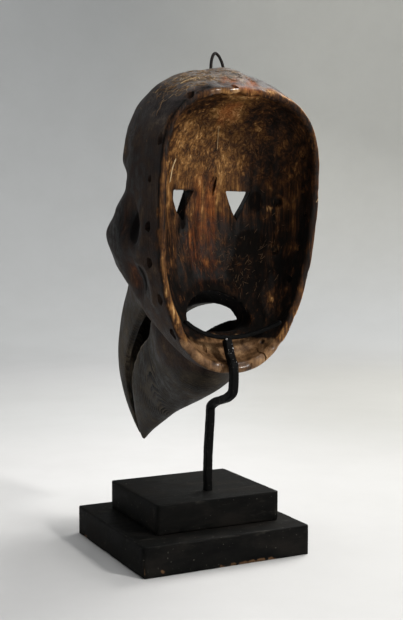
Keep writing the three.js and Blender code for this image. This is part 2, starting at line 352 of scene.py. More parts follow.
mask = {
    "place": (-10.4, 75.5, 288),
    "roll": -0.03,
    "lean": -0.06,
    "rimHalfWidth": 77.5,
    "rimMiddle": 36,
    "rimUp": (86, 2.8),
    "rimDown": (158, 2.32),
    "rimBand": [(-110, 9), (10, 7), (122, 6.5)],
    "rimProud": 2.4,
    "poleHeight": 8,
    "outerPower": 3.5,
    "crownRise": [(-75, 14), (-52, 17), (-24, 20), (0, 24.8), (24, 20.5), (52, 22.5), (75, 26)],
    "crownFrom": (45, 122),
    "sideSwell": 0.08,
    "swellDepth": 60,
    "cheekSwell": (4.5, -14, 26),
    "middleDepth": [(-130, 46), (-95, 54), (-60, 64), (0, 77), (38, 76), (60, 102), (80, 108), (150, 104)],
    "sideDepth": [(-130, 60), (-94, 92), (-60, 116), (-35, 142), (-10, 152), (12, 132), (32, 106),
                  (44, 102), (58, 122), (80, 130), (150, 124)],
    "sideFrom": (36, 66),
    "hollows": [(9, 46, 4, 15, 21), (9, 50, -45, 13, 19)],
    "innerPower": 2.05,
    "innerDepth": [(-130, 42), (30, 63), (130, 72)],
    "bowlOpening": 20,
    "bowlSight": (0, -10, 10),
    "turns": 300,
    "outerRings": 96,
    "innerRings": 56,
    "voxel": 1.35,
    "smoothing": 3,
}

beak = {
    "upperRidge": [(58, 38), (95, 17), (150, -18), (198, -53), (231, -89), (242, -125), (237, -158),
                   (221, -185), (203, -204), (187, -217)],
    "upperEdge": [(50, -83, 46), (62, -80, 47), (70, -74, 47.5), (98, -71.5, 43), (130, -79, 29.5),
                  (163, -100, 22.5), (186, -127, 19.5), (198, -153, 16), (196, -176, 12), (189, -198, 7.5),
                  (186, -216.5, 2)],
    "lowerEdge": [(40, -84, 40), (70, -84, 45), (91, -92, 38), (116, -106, 28.5), (140, -119, 25),
                  (160, -137, 22), (174, -156, 18.5), (178.5, -176, 14), (179, -200, 8), (179.5, -219, 2)],
    "lowerKeel": [(14, -122), (41, -145), (67, -159), (92, -170.5), (115, -181), (135, -192),
                  (153, -202.5), (166, -211), (175, -218), (178, -222)],
    "mouthRoof": [(22, -62), (45, -55), (80, -56), (120, -60), (160, -76), (193, -100), (212, -130),
                  (214, -160), (205, -184)],
    "mouthFloor": [(20, -88, 32), (42, -92, 33), (68, -106, 35), (92, -124, 27), (116, -142, 21),
                   (138, -160, 17), (155, -177, 14), (166, -192, 9.5), (173, -204, 5.5)],
    "halfWidths": [(60, 48), (98, 43), (130, 30), (163, 23), (186, 20), (242, 14)],
    "mouthWidest": 0.38,
    "mouthSquare": 0.75,
    "ridgeFullness": 1.05,
    "keelFullness": 0.9,
    "steps": 110,
    "archSteps": 56,
}


def maskTurn():
    roll, lean = mask["roll"], mask["lean"]
    aboutY = np.array([[math.cos(roll), 0, math.sin(roll)], [0, 1, 0], [-math.sin(roll), 0, math.cos(roll)]])
    aboutX = np.array([[1, 0, 0], [0, math.cos(lean), -math.sin(lean)], [0, math.sin(lean), math.cos(lean)]])
    return aboutY @ aboutX


def fromMask(points):
    # side, forward and up in the mask's own frame, to metres in the row frame
    p = np.asarray(points, float) * (1, -1, 1)
    return (p @ maskTurn().T + mask["place"]) * mm


def toMask(points):
    p = (np.asarray(points, float) / mm - mask["place"]) @ maskTurn()
    return p * (1, -1, 1)


def turnToMask(directions):
    return (directions @ maskTurn()) * (1, -1, 1)


def rimOutline(count):
    # evenly spaced side and up values round the rim
    angle = np.linspace(0, 2 * math.pi, 961)
    upper = angle <= math.pi
    reach = np.where(upper, mask["rimUp"][0], mask["rimDown"][0])
    square = 2 / np.where(upper, mask["rimUp"][1], mask["rimDown"][1])
    side = mask["rimHalfWidth"] * power(np.cos(angle), square)
    up = mask["rimMiddle"] + reach * power(np.sin(angle), square)
    length = np.concatenate([[0], np.cumsum(np.hypot(np.diff(side), np.diff(up)))])
    at = np.linspace(0, length[-1], count, endpoint=False)
    return np.stack([np.interp(at, length, side), np.interp(at, length, up)], axis=1)


def outerRing(rim, share):
    pole = mask["poleHeight"]
    side = rim[:, 0] * share
    up = pole + (rim[:, 1] - pole) * share
    toSide = ease(np.abs(side), *mask["sideFrom"])
    depth = level(mask["middleDepth"], up) * (1 - toSide) + level(mask["sideDepth"], up) * toSide
    forward = depth * (1 - share ** mask["outerPower"]) ** (1 / mask["outerPower"])
    swell = np.sin(math.pi / 2 * np.minimum(1, forward / mask["swellDepth"]))
    for deep, middle, height, long, tall in mask["hollows"]:
        away = ((forward - middle) / long) ** 2 + ((up - height) / tall) ** 2
        side = side - np.sign(side) * toSide * deep * np.exp(-away)
    out, height, tall = mask["cheekSwell"]
    side = side + toSide * np.sign(side) * swell * out * np.exp(-(((up - height) / tall) ** 2))
    side = side * (1 + mask["sideSwell"] * swell)
    low, high = mask["crownFrom"]
    toCrown = np.clip((up - low) / (high - low), 0, 1)
    up = up + level(mask["crownRise"], side) * swell * toCrown ** 1.5
    return np.stack([side, forward, up], axis=1)


def bowlShare(rim):
    return 1 - level(mask["rimBand"], rim[:, 1]) / np.hypot(rim[:, 0], rim[:, 1] - mask["poleHeight"])


def innerRing(rim, share):
    reach = share * bowlShare(rim)
    side = rim[:, 0] * reach
    up = mask["poleHeight"] + (rim[:, 1] - mask["poleHeight"]) * reach
    bend = mask["innerPower"]
    forward = level(mask["innerDepth"], up) * (1 - share**bend) ** (1 / bend)
    return np.stack([side, forward, up], axis=1)


def bandRing(rim, across):
    share = 1 - (1 - bowlShare(rim)) * across
    proud = mask["rimProud"] * math.sqrt(math.sin(math.pi * across))
    up = mask["poleHeight"] + (rim[:, 1] - mask["poleHeight"]) * share
    return np.stack([rim[:, 0] * share, np.full(len(rim), -proud), up], axis=1)


def shares(count):
    # close together at the rim and at the pole
    x = (np.arange(count) + 1) / (count + 1)
    return np.cos(math.pi / 2 * x * x * (3 - 2 * x)) ** (2 / 3)


def jaw(name, cutting, crest, fullness):
    # arches from the cutting edge over the ridge or the keel
    low = smoothLine(cutting, beak["steps"])
    high = smoothLine(crest, beak["steps"])
    angle = np.linspace(0, math.pi, beak["archSteps"])
    rise = np.abs(np.sin(angle)) ** fullness
    rise[[0, -1]] = 0
    side = low[:, 2:3] * np.cos(angle)
    forward = low[:, 0:1] * (1 - rise) + high[:, 0:1] * rise
    up = low[:, 1:2] * (1 - rise) + high[:, 1:2] * rise
    return skin(name, fromMask(np.stack([side, forward, up], axis=2)))


def mouthHollow():
    top = smoothLine(beak["mouthRoof"], beak["steps"])
    base = smoothLine(beak["mouthFloor"], beak["steps"])
    angle = np.linspace(0, 2 * math.pi, beak["archSteps"] * 2, endpoint=False)
    lift = np.sin(angle)
    widest, square = beak["mouthWidest"], beak["mouthSquare"]
    share = np.where(lift > 0, widest + (1 - widest) * lift, widest + widest * power(lift, square))
    across = np.where(lift > 0, np.cos(angle), power(np.cos(angle), square))
    side = base[:, 2:3] * across
    forward = base[:, 0:1] + (top[:, 0:1] - base[:, 0:1]) * share
    up = base[:, 1:2] + (top[:, 1:2] - base[:, 1:2]) * share
    return skin("mouthHollow", fromMask(np.stack([side, forward, up], axis=2)))


def maskBlank():
    # the piece as it comes from the adze, before the fine cuts
    rim = rimOutline(mask["turns"])
    outer = [outerRing(rim, s) for s in shares(mask["outerRings"])][::-1]
    band = [bandRing(rim, across) for across in np.linspace(0, 1, 9)]
    inner = [innerRing(rim, s) for s in shares(mask["innerRings"])]
    body = skin("carvedMask", fromMask(np.array(outer + band + inner)))
    combine(body, jaw("upperJaw", beak["upperEdge"], beak["upperRidge"], beak["ridgeFullness"]), "UNION")
    combine(body, jaw("lowerJaw", beak["lowerEdge"], beak["lowerKeel"], beak["keelFullness"]), "UNION")
    opening = innerRing(rim, 1.0)
    opening[:, 1] = -mask["bowlOpening"]
    bowl = skin("bowl", fromMask(np.array([opening, innerRing(rim, 1.0)] + inner)))
    combine(body, bowl, "DIFFERENCE")
    combine(body, mouthHollow(), "DIFFERENCE")
    modify(body, "REMESH", mode="VOXEL", voxel_size=mask["voxel"] * mm)
    modify(body, "SMOOTH", factor=0.5, iterations=mask["smoothing"])
    return body


# Where a point lies on the mask

def ovalReach(side, up):
    # 0 in the rim's middle and 1 on its outline
    upper = up >= mask["rimMiddle"]
    reach = np.where(upper, mask["rimUp"][0], mask["rimDown"][0])
    square = np.where(upper, mask["rimUp"][1], mask["rimDown"][1])
    wide = (np.abs(side) / mask["rimHalfWidth"]) ** square
    return (wide + (np.abs(up - mask["rimMiddle"]) / reach) ** square) ** (1 / square)


def regions(p, n):
    # how far each point belongs to the bowl, the rim and the beak, from 0 to 1
    side, forward, up = p.T
    # the bowl is what faces a point in its opening
    sight = np.array(mask["bowlSight"]) - p
    facing = np.einsum("ij,ij->i", n, sight) / np.linalg.norm(sight, axis=1)
    reach = ovalReach(side, up)
    bowl = ease(facing, -0.05, 0.2) * (1 - ease(reach, 0.93, 0.98)) * (1 - ease(forward, 72, 78))
    rim = ease(reach, 0.86, 0.9) * (1 - ease(forward, 3, 9)) * ease(-n[:, 1], 0.1, 0.5)
    halfWidth = np.interp(forward, *np.transpose(beak["halfWidths"]))
    # the ridge up to the place where it turns back
    ridge = np.interp(forward, *np.transpose(beak["upperRidge"][:6]))
    isBeak = ease(forward, 66, 84) * (1 - ease(np.abs(side) - halfWidth, 2, 7)) * (1 - ease(up - ridge, 4, 9))
    under = ease(-up, 118, 130) * ease(forward, 4, 16)
    isBeak = np.maximum(isBeak, under)
    return {"bowl": bowl * (1 - isBeak), "rim": rim, "beak": isBeak}


def blot(p, middle, radius):
    # soft round spot; radius is one number or one for each axis
    away = np.linalg.norm((p - np.array(middle)) / np.asarray(radius, float), axis=1)
    return 1 - ease(away, 0.35, 1)


def bell(x, middle, wide):
    # 1 at the middle, fading out to both sides
    return np.exp(-(((x - middle) / wide) ** 2))


def nearLine(p, points, wide):
    # 1 on a smooth line through the points, fading out over the width
    gap = np.full(len(p), 999.0)
    for spot in smoothLine(points, 60):
        gap = np.minimum(gap, np.linalg.norm(p - spot, axis=1))
    return bell(gap, 0, wide)


def fromKnots(p):
    # distance from each knot in its own radius, and the knot's depth
    for middle, radius, deep in carving["knots"]:
        yield np.linalg.norm(p - np.array(middle), axis=1) / radius, deep


# Fine carving: what the tools, the wearer and the years left on the wood

carving = {
    "domeScallops": (0.5, 15),
    "domeDents": (0.2, 6),
    "bowlGouges": (1.1, (9, 12, 34)),
    "bowlScrapes": (0.5, (3.4, 5, 14)),
    "beakPlanes": (0.3, (10, 26, 26)),
    "rimNicks": (1.1, 8),
    # middle, radius and depth of each knot
    "knots": [((-57.5, 37.3, 27.7), 4.6, 2.6), ((-56, 33.1, -15.6), 3.8, 2.4),
              ((-34.9, 10.2, -96.3), 2.6, 1.6)],
    "leftEye": ([(12.6, 34.6), (38, 33.6), (38.4, 25), (33.4, 14.5), (25.4, 5.4)],
                [(18.2, 34), (43, 34), (43, 25), (37, 14), (25.5, 8.5)]),
    "rightEye": ([(-15.6, 35), (-38.5, 35.6), (-26.6, 7.6)], [(-18, 35), (-46.5, 35.5), (-33, 10.5)]),
    "eyeDepths": (34, 54, 74, 100),
    "eyeRound": 1.5,
    "rimHoleOval": 1.25,
    # side, height, forward distance and radius of each hole
    "rimHoles": [(1, 110.5, 2.2, 4.3), (1, 73, 5, 3.9), (1, 40, 13, 2.6), (1, 2, 13, 3.8), (1, -27, 13, 3.8),
                 (1, -58, 8, 3.9), (1, -87, 6, 3.9), (-1, 73, 14, 2.5), (-1, 43, 13.5, 2.5), (-1, 19, 8, 2.2),
                 (-1, -14, 12, 2.6), (-1, -47, 13, 2.8)],
    "rimHoleLength": 56,
    # crests beside the hollows of the left cheek: points, height and width
    "crests": [([(78.5, 38.2, 18.9), (80.1, 27.1, 10.7), (80.8, 20.8, -1.6), (80.5, 22.1, -13.4),
                 (80, 29.6, -22.3)], 0.8, 4),
               ([(76.1, 40.1, -29.8), (77.5, 23.8, -30.3), (75.2, 17.8, -36.5), (72.5, 16.6, -45.6),
                 (70, 17, -54.1), (67.6, 19.5, -62)], 1.3, 3.6)],
    # lines pressed into the bowl: points, width and depth
    "grooves": [([(20.8, 64.6, 25.1), (24.6, 59.6, 14.4), (26.2, 57.2, 5.5), (28.6, 55.2, -3.3)], 4.2, 1.8),
                ([(-19, 58, 30), (-22, 57, 16), (-22, 55, 2)], 3.4, 0.8)],
    # pale scratches: points, width and strength
    "scratches": [([(-51.4, 44.5, 40.8), (-56.6, 38.7, 37.5)], 1.2, 0.5),
                  ([(-70.3, 10.3, 44.1), (-71, 8, 40)], 1.3, 0.5),
                  ([(-64, 28.2, 51.5), (-62.4, 30, 47)], 1.2, 0.4),
                  ([(-65.9, 14.9, -13.2), (-65, 16, -8)], 1.5, 0.5),
                  ([(-57, 16, -42), (-61, 12, -43.5), (-61, 12, -48), (-57.5, 15, -49)], 1.3, 0.5),
                  ([(-49.7, 22.4, -60.1), (-48, 25, -52)], 1.5, 0.4),
                  ([(-61, 24, -6), (-62, 20, -18)], 1.3, 0.4),
                  ([(-55, 34, -9), (-52, 36, -11), (-50, 37, -15)], 1.4, 0.45),
                  ([(-60, 30, 8), (-58, 33, 13)], 1.2, 0.4),
                  ([(-62, 30, 30), (-64, 27, 25)], 1.2, 0.4),
                  ([(-66, 22, 62), (-64, 24, 57)], 1.3, 0.4)],
    # hollows beside the crests: middle, radius and depth
    "dents": [((80, 40, 0), (20, 15, 17), 1.8), ((75, 36, -44), (20, 15, 15), 3.2)],
    # points, width, depth and the way that each crack goes in
    "cracks": [
        ([(-28.8, 11.6, -100), (-29.4, 2, -104.2), (-32.8, -2, -108.6), (-32, -3, -113)], 2.4, 4, (0, 1, -0.8)),
        ([(-0.3, -2, 122), (-1.2, -3, 117.5), (-2.5, -1, 113), (-8, 14, 112), (-12, 25, 110)], 2.4, 4,
         (0, 0.5, 1)),
        ([(25.1, -3, 118), (25.3, -2, 113), (21, 6, 112), (13, 22, 111)], 1.8, 3, (0, 0.5, 1)),
        ([(-6.5, 59.5, 47.2), (-5.6, 60.1, 42.6), (-4.5, 61.1, 35.4), (-4, 61.6, 29.9)], 2.4, 3.4, (0, 1, 0)),
        ([(-3.3, 59.4, 48.5), (-2.2, 60, 44.5), (-1.3, 60.5, 40.6)], 1.2, 2, (0, 1, 0)),
        ([(18.6, 19.2, -97.8), (18.6, 15.9, -101.7), (18.5, 11.7, -105.4)], 4.6, 5, (0, 0.5, -1)),
        ([(14.4, 2.5, 123.4), (12.5, 0.9, 122.2), (9, -1.5, 120)], 4, 3.4, (0, 0.7, -1)),
        ([(10.8, 1, -110), (10.4, -2.6, -117), (10.8, 0, -121)], 1, 2, (0, 1, 0.6)),
        ([(-19.6, 1, -109.5), (-18.4, -2.4, -116), (-18, 0, -119)], 0.9, 1.8, (0, 1, 0.6)),
    ],
    "triangles": 190000,
}


def sculpt(body):
    mesh = body.data
    world = readPoints(mesh)
    normals = readPoints(mesh, "normal")
    p = toMask(world)
    n = turnToMask(normals)
    at = regions(p, n)
    dome = (1 - at["bowl"]) * (1 - at["beak"])

    def relief(name, seed):
        depth, size = carving[name]
        return depth * grainNoise(p, size, seed)

    push = dome * (relief("domeScallops", 1) + relief("domeDents", 2))
    smooth = 1 - 0.94 * ease(-p[:, 2], 80, 92)
    push += at["bowl"] * smooth * (relief("bowlGouges", 3) + relief("bowlScrapes", 4))
    push += at["beak"] * relief("beakPlanes", 5)
    depth, size = carving["rimNicks"]
    push -= at["rim"] * depth * ease(grainNoise(p, size, 6), 0.3, 0.85)
    for middle, radius, deep in carving["dents"]:
        push -= dome * deep * blot(p, middle, radius)
    for line, high, wide in carving["crests"]:
        push += dome * high * nearLine(p, line, wide)
    for line, wide, deep in carving["grooves"]:
        push -= at["bowl"] * deep * nearLine(p, line, wide)
    for away, deep in fromKnots(p):
        push += 0.7 * bell(away, 1.25, 0.3) - deep * (1 - ease(away, 0.3, 1))
    writePoints(mesh, world + normals * (push * mm)[:, None])


def roundedOutline(corners, radius, steps=5):
    # corners are (x, y) pairs; each is replaced by a short curve
    points = []
    c = np.array(corners, float)
    for i in range(len(c)):
        here, before, after = c[i], c[i - 1], c[(i + 1) % len(c)]
        a = here + (before - here) / np.linalg.norm(before - here) * radius
        b = here + (after - here) / np.linalg.norm(after - here) * radius
        for t in np.linspace(0, 1, steps):
            points.append((1 - t) ** 2 * a + 2 * t * (1 - t) * here + t * t * b)
    return np.array(points)


def eyeCutter(inside, outside):
    rings = []
    for forward, corners in zip(carving["eyeDepths"], (inside, inside, outside, outside)):
        outline = roundedOutline(corners, carving["eyeRound"])
        rings.append(np.column_stack([outline[:, 0], np.full(len(outline), forward), outline[:, 1]]))
    return skin("eye", fromMask(np.array(rings)))


def rimHoleCutter(sign, up, forward, radius):
    reach, square = mask["rimUp"] if up >= mask["rimMiddle"] else mask["rimDown"]
    share = abs(up - mask["rimMiddle"]) / reach
    side = sign * mask["rimHalfWidth"] * (1 - share**square) ** (1 / square)
    middle = np.array([side, forward, up])
    along = np.array([side, 0, up - mask["poleHeight"]])
    along /= np.linalg.norm(along)
    ahead = np.array([0.0, 1.0, 0.0])
    across = np.cross(along, ahead)
    angle = np.linspace(0, 2 * math.pi, 18, endpoint=False)
    wobble = 1 + 0.1 * np.sin(3 * angle + up) + 0.06 * np.sin(5 * angle + 2 * up)
    half = carving["rimHoleLength"] / 2
    rings = []
    for t in np.linspace(-half, half, 9):
        r = radius * wobble * (0.92 + 0.12 * ease(abs(t), 2, 14))
        tall = carving["rimHoleOval"] * r
        ring = middle + along * t + np.outer(r * np.cos(angle), ahead)
        rings.append(ring + np.outer(tall * np.sin(angle), across))
    return skin("rimHole", fromMask(np.array(rings)))


def crackCutter(points, wide, deep, into):
    line = smoothLine(points, 26)
    into = np.array(into, float) / np.linalg.norm(into)
    across = unit(np.cross(unit(np.gradient(line, axis=0)), into))
    t = np.linspace(0, 1, len(line))
    taper = 0.12 + 0.88 * np.sin(math.pi * t) ** 0.6
    jitter = 1 + 0.35 * grainNoise(line, 2.5, 9)
    w = (wide / 2 * taper * jitter)[:, None]
    d = (deep * taper)[:, None]
    line = line + across * (0.5 * grainNoise(line, 3.5, 10))[:, None]
    rings = np.stack([line + across * w, line + into * d, line - across * w, line - into * d], axis=1)
    return skin("crack", fromMask(rings))


def spotted(p, base, spots):
    # the base value, changed inside each spot
    return base + sum(change * blot(p, middle, radius) for middle, radius, change in spots)


def bowlShade(p, patch, fine):
    side, forward, up = p.T
    shade = spotted(p, look["bowlShade"], look["bowlSpots"])
    # painted shadow: the first fade darkens the bowl's right wall; the other two darken it towards the bottom
    for way, wander, low, high, dark in look["bowlFades"]:
        shade -= dark * ease(p @ np.array(way) + wander * patch, low, high)
    # fine layers along the left wall
    reach = ovalReach(side, up)
    leftWall = np.maximum(ease(side, 6, 40), ease(up, 96, 108) * ease(side, -10, 20))
    wall = ease(reach, 0.64, 0.8) * leftWall
    shade -= wall * (0.1 + 0.07 * np.sin(reach * look["wallLayers"] + 2 * patch))
    # painted shade along the grooves pressed into the bowl
    for line, wide, deep in carving["grooves"]:
        shade -= look["grooveShade"] * deep * nearLine(p, line, wide)
    for line, wide, strength in carving["scratches"]:
        shade += strength * nearLine(p, line, wide)
    for away, deep in fromKnots(p):
        shade += look["knotPale"] * bell(away, 1.3, 0.3) * ease(fine, -0.4, 0.6)
    return shade


def rimShade(p, patch, fine):
    # pale along its middle on the left, a painted highlight on the right outer edge, dark on the left edge
    side, forward, up = p.T
    reach = ovalReach(side, up) + 0.006 * fine
    left = np.maximum(ease(side, -10, 40), ease(-up, 70, 90))
    shade = spotted(p, look["rimShade"], look["rimSpots"])
    shade += look["rimLitEdge"] * ease(reach, 0.975, 0.995) * ease(-side, 10, 40)
    shade -= look["rimDark"] * ease(reach, 0.985, 1.0) * left
    return shade + look["rimPale"] * left * bell(reach, 0.955, 0.022) * ease(fine + patch, -1.3, 0.4)


def rimGrooveShade(p, fine):
    # painted shade: a dark line along the left rim where a groove's shade would fall
    side, forward, up = p.T
    return bell(ovalReach(side, up) + 0.006 * fine, 0.905, 0.016) * ease(side, 0, 40) * ease(up, -70, -30)


def domeShade(p):
    shade = spotted(p, look["domeShade"], look["domeSpots"])
    # painted shade in the hollows of the left cheek
    for middle, radius, deep in carving["dents"]:
        shade -= look["dentShade"] * blot(p, middle, np.array(radius) * 1.3)
    for line, high, wide in carving["crests"]:
        shade += look["crestPale"] * nearLine(p, line, wide)
    return shade


def beakShade(p, patch):
    side, forward, up = p.T
    toEdge = np.full(len(p), 99.0)
    for ahead, height, wide in smoothLine(beak["lowerEdge"], 160):
        toEdge = np.minimum(toEdge, np.hypot(forward - ahead, up - height) + np.abs(np.abs(side) - wide))
    edge = look["edgePale"] * (1 - ease(toEdge, 0.8, 3.2))
    return spotted(p, look["beakShade"], look["beakSpots"]) + 0.06 * patch + edge


def insideJaws(p, n):
    # near 1 where the surface looks into the beak's mouth, which painted shade darkens
    side, forward, up = p.T
    roofForward, roofUp = np.transpose(beak["mouthRoof"])
    floorForward, floorUp, floorWide = np.transpose(beak["mouthFloor"])
    roof = np.interp(forward, roofForward, roofUp)
    ground = np.interp(forward, floorForward, floorUp)
    reach = np.interp(forward, floorForward, floorWide)
    away = np.column_stack([-side, np.zeros(len(p)), (roof + ground) / 2 - up])
    away /= np.maximum(np.linalg.norm(away, axis=1), 1e-6)[:, None]
    facing = ease(np.einsum("ij,ij->i", n, away), 0.1, 0.5)
    near = (1 - ease(np.abs(side) - reach, 1, 5)) * (1 - ease(up - roof, 2, 7))
    near = near * (1 - ease(ground - up, 2, 7))
    return facing * near * ease(forward, 26, 44)


def insideEyes(p, n):
    # near 1 on the cut walls of the eyes, which painted shade darkens
    side, forward, up = p.T
    inner = np.zeros(len(p))
    for eye in ("leftEye", "rightEye"):
        middle = np.mean(carving[eye][0], axis=0)
        near = 1 - ease(np.hypot(side - middle[0], up - middle[1]), 17, 21)
        inner = np.maximum(inner, near * ease(forward, 40, 50) * ease(n[:, 1] + 0.75, 0, 0.35))
    return inner


def paintMask(body):
    # soft masks that the wood's material reads
    mesh = body.data
    p = toMask(readPoints(mesh))
    n = turnToMask(readPoints(mesh, "normal"))
    side, forward, up = p.T
    at = regions(p, n)
    bowl, rim, isBeak = at["bowl"], at["rim"], at["beak"]
    covered = np.maximum(bowl, rim)
    dome = (1 - bowl) * (1 - isBeak) * (1 - rim)
    patch = grainNoise(p, 22, 11)
    fine = grainNoise(p, 7, 12)

    shade = bowlShade(p, patch, fine) * (1 - rim) + rimShade(p, patch, fine) * rim
    shade = covered * shade + (1 - covered) * domeShade(p) - look["rimGrooveShade"] * rimGrooveShade(p, fine) * rim
    shade = shade * (1 - isBeak) + beakShade(p, patch) * isBeak
    # painted shade: the mouth's inner walls and the eyes' cut walls are turned near black
    shadedInside = np.maximum(insideJaws(p, n), insideEyes(p, n))
    fuzzy = np.maximum(ease(up + 6 * patch, 36, 56), blot(p, *look["fuzzyLow"]))
    red = np.max([strength * blot(p, middle, radius) for middle, radius, strength in look["redSpots"]], axis=0)
    lined = isBeak * (0.3 + 0.7 * blot(p, *look["ringedKeel"]))
    masks = {
        "shade": shade * (1 - shadedInside) - 0.2 * shadedInside,
        "bare": covered * (1 - isBeak),
        "beak": isBeak,
        "ringed": np.maximum(lined, blot(p, *look["ringedCheek"])),
        "fuzzy": bowl * fuzzy,
        "polish": covered * ease(-up + 3 * fine, 88, 98) * (1 - ease(forward, 24, 34)),
        "shine": sum(blot(p, middle, radius) for middle, radius in look["shine"]),
        "red": red * ease(grainNoise(p, (5, 8, 60), 13) + 0.4 * fine, -0.9, 0.5),
        "crown": dome * ease(up + 4 * fine, 116, 132) * ease(side, -24, 6),
        "cold": dome * ease(up + 8 * patch, 70, 104) * (1 - red),
        "pit": sum(blot(p, middle, radius * 1.25) for middle, radius, deep in carving["knots"]),
    }
    for name, values in masks.items():
        setMask(mesh, name, values)


def makeMask():
    body = maskBlank()
    print("mask blank:", len(body.data.polygons), "faces")
    sculpt(body)
    cutters = [eyeCutter(*carving[eye]) for eye in ("leftEye", "rightEye")]
    cutters += [rimHoleCutter(*hole) for hole in carving["rimHoles"]]
    cutters += [crackCutter(*crack) for crack in carving["cracks"]]
    for cutter in cutters:
        combine(body, cutter, "DIFFERENCE")
    thin(body, carving["triangles"])
    paintMask(body)
    return body


# Old carved wood: dry and dark outside, warm and fibrous inside, worn bright along the rim, with painted shade
# in its recesses and a painted highlight on the rim's right edge

look = {
    # from black to the palest bare wood: a place from 0 to 1, then the colour
    "bareTones": [(0, 9, 6, 4), (0.22, 34, 20, 11), (0.42, 70, 43, 22), (0.58, 104, 70, 36),
                  (0.76, 150, 108, 62), (1, 208, 170, 118)],
    "redTones": [(0, 12, 7, 5), (0.3, 60, 28, 11), (0.55, 108, 57, 25), (0.8, 146, 82, 38),
                 (1, 184, 120, 68)],
    "domeTones": [(0, 6, 3, 3), (0.25, 36, 24, 19), (0.5, 64, 51, 41), (0.75, 106, 86, 64),
                  (1, 160, 132, 98)],
    "hornTones": [(0, 6, 5, 4), (0.25, 38, 32, 25), (0.5, 64, 56, 46), (0.75, 94, 85, 72), (1, 140, 130, 112)],
    "coldTones": [(0, 8, 9, 10), (0.3, 40, 42, 46), (0.55, 66, 68, 72), (1, 140, 140, 138)],
    "crownTones": [(0.38, 48, 42, 38), (0.5, 84, 70, 56), (0.62, 128, 102, 72)],
    "polishTones": [(0.38, 46, 30, 18), (0.47, 98, 70, 44), (0.54, 130, 98, 68), (0.64, 180, 144, 104)],
    "pitTone": tone(6, 4, 3),
    "grainContrast": 2.2,
    "blotchContrast": 1.1,
    "hairPale": 0.26,
    "skinContrast": 1.3,
    "ringDark": 0.75,
    # spots are a middle, a radius and how much lighter or darker they are
    "bowlShade": 0.54,
    # the spot at (-8, 35, -80) is painted shade round the mouth opening, the one at (25, 59, 10) painted shade
    # below the left eye
    "bowlSpots": [((4, 55, 84), (60, 60, 50), 0.02), ((-8, 35, -80), (54, 60, 40), -0.36),
                  ((-50, 20, -62), (18, 30, 34), 0.4), ((-52, 43, 21.8), (5, 12, 2.6), 0.9),
                  ((-58, 30, -30), (16, 24, 26), 0.08), ((2, 32, 104), (20, 24, 14), 0.16),
                  ((4, 12, 113), (30, 16, 9), 0.24), ((30, 20, 108), (40, 24, 16), -0.16),
                  ((-34, 20, 104), (30, 30, 24), -0.2), ((-43, 52, 28), (10, 24, 17), -0.26),
                  ((66, 24, -10), (24, 34, 90), -0.1), ((25, 59, 10), (4.5, 14, 15), -0.34),
                  ((4, 58, 0), (5, 24, 48), 0.1), ((-62, 26, 0), (12, 24, 50), 0.06),
                  ((-28, 50, -18), (30, 24, 34), -0.17), ((-74, 8, 30), (14, 18, 70), -0.14),
                  ((10, 48, 80), (50, 30, 30), -0.04)],
    # way, wander of the edge, where it starts and ends, and how dark it gets; the first is painted shadow on
    # the bowl's right wall, the other two darken the bowl towards the bottom
    "bowlFades": [((-1, 0, 0), 5, 16, 46, 0.26), ((0, 0, -1), 6, -40, 10, 0.24),
                  ((0, 0, -1), 5, 16, 50, 0.26)],
    "wallLayers": 110,
    # painted shade in the pressed grooves
    "grooveShade": 1 / 6,
    "knotPale": 0.16,
    "rimShade": 0.4,
    "rimSpots": [((75, 0, -40), (20, 20, 90), 0.04), ((8, 0, 118), (32, 20, 10), 0.24),
                 ((60, 0, 92), (38, 20, 54), -0.24), ((-40, 0, 100), (30, 20, 30), -0.2),
                 ((-72, 0, 10), (20, 20, 110), -0.22), ((56, 0, -76), (26, 20, 30), 0.12)],
    # painted highlight on the rim's right outer edge
    "rimLitEdge": 0.4,
    "rimDark": 0.4,
    "rimPale": 0.06,
    # painted shade of a groove along the left rim
    "rimGrooveShade": 0.22,
    "domeShade": 0.3,
    # the spots at (84, 60, 60) and (84, 50, 0) are painted shade on the left side, the one at (75, 36, -44)
    # painted shade in the lower hollow
    "domeSpots": [((40, 20, 128), (50, 40, 18), 0.34), ((84, 60, 60), (20, 50, 50), -0.08),
                  ((84, 50, 0), (30, 60, 70), -0.1), ((75, 36, -44), (20, 18, 16), -0.12),
                  ((60, 20, 100), (40, 40, 34), 0.06), ((70, 40, 96), (30, 50, 40), 0.07),
                  ((0, 8, 126), (24, 16, 14), 0.22)],
    "dentShade": 0.3,
    "crestPale": 0.14,
    "beakShade": 0.38,
    # the first spot, on the upper beak's outer side, is a painted highlight
    "beakSpots": [((18, 200, -135), (16, 34, 46), 0.16), ((20, 60, -150), (30, 40, 22), 0.06),
                  ((30, 90, -110), (24, 40, 30), -0.06)],
    "edgePale": 0.55,
    "redSpots": [((-4, 8, 125), (38, 22, 15), 1), ((-2, 34, 102), (18, 30, 20), 0.8),
                 ((4, 58, -6), (34, 34, 84), 0.75), ((79, 46, 4), (34, 26, 36), 0.55),
                 ((79, 50, -45), (34, 24, 34), 0.55)],
    "fuzzyLow": ((-28, 50, -26), (34, 40, 50)),
    "ringedKeel": ((18, 95, -160), (60, 80, 48)),
    "ringedCheek": ((86, 84, -4), (26, 34, 44)),
    "shine": [((14.5, -0.2, -111.4), (8, 8, 8)), ((-8.9, 1.3, -112.2), (7, 8, 7)), ((-27, 0, -108), (6, 6, 5)),
              ((33, -1.8, 113.6), (4, 4, 3)), ((27.7, -2, 115.7), (4, 4, 3)), ((12, -2.2, 118), (6, 4, 3))],
    # metres: the log's middle line and the distance between its growth rings
    "logAxis": (0.0104, 0.05, 0),
    "ringPeriod": 0.0026,
}


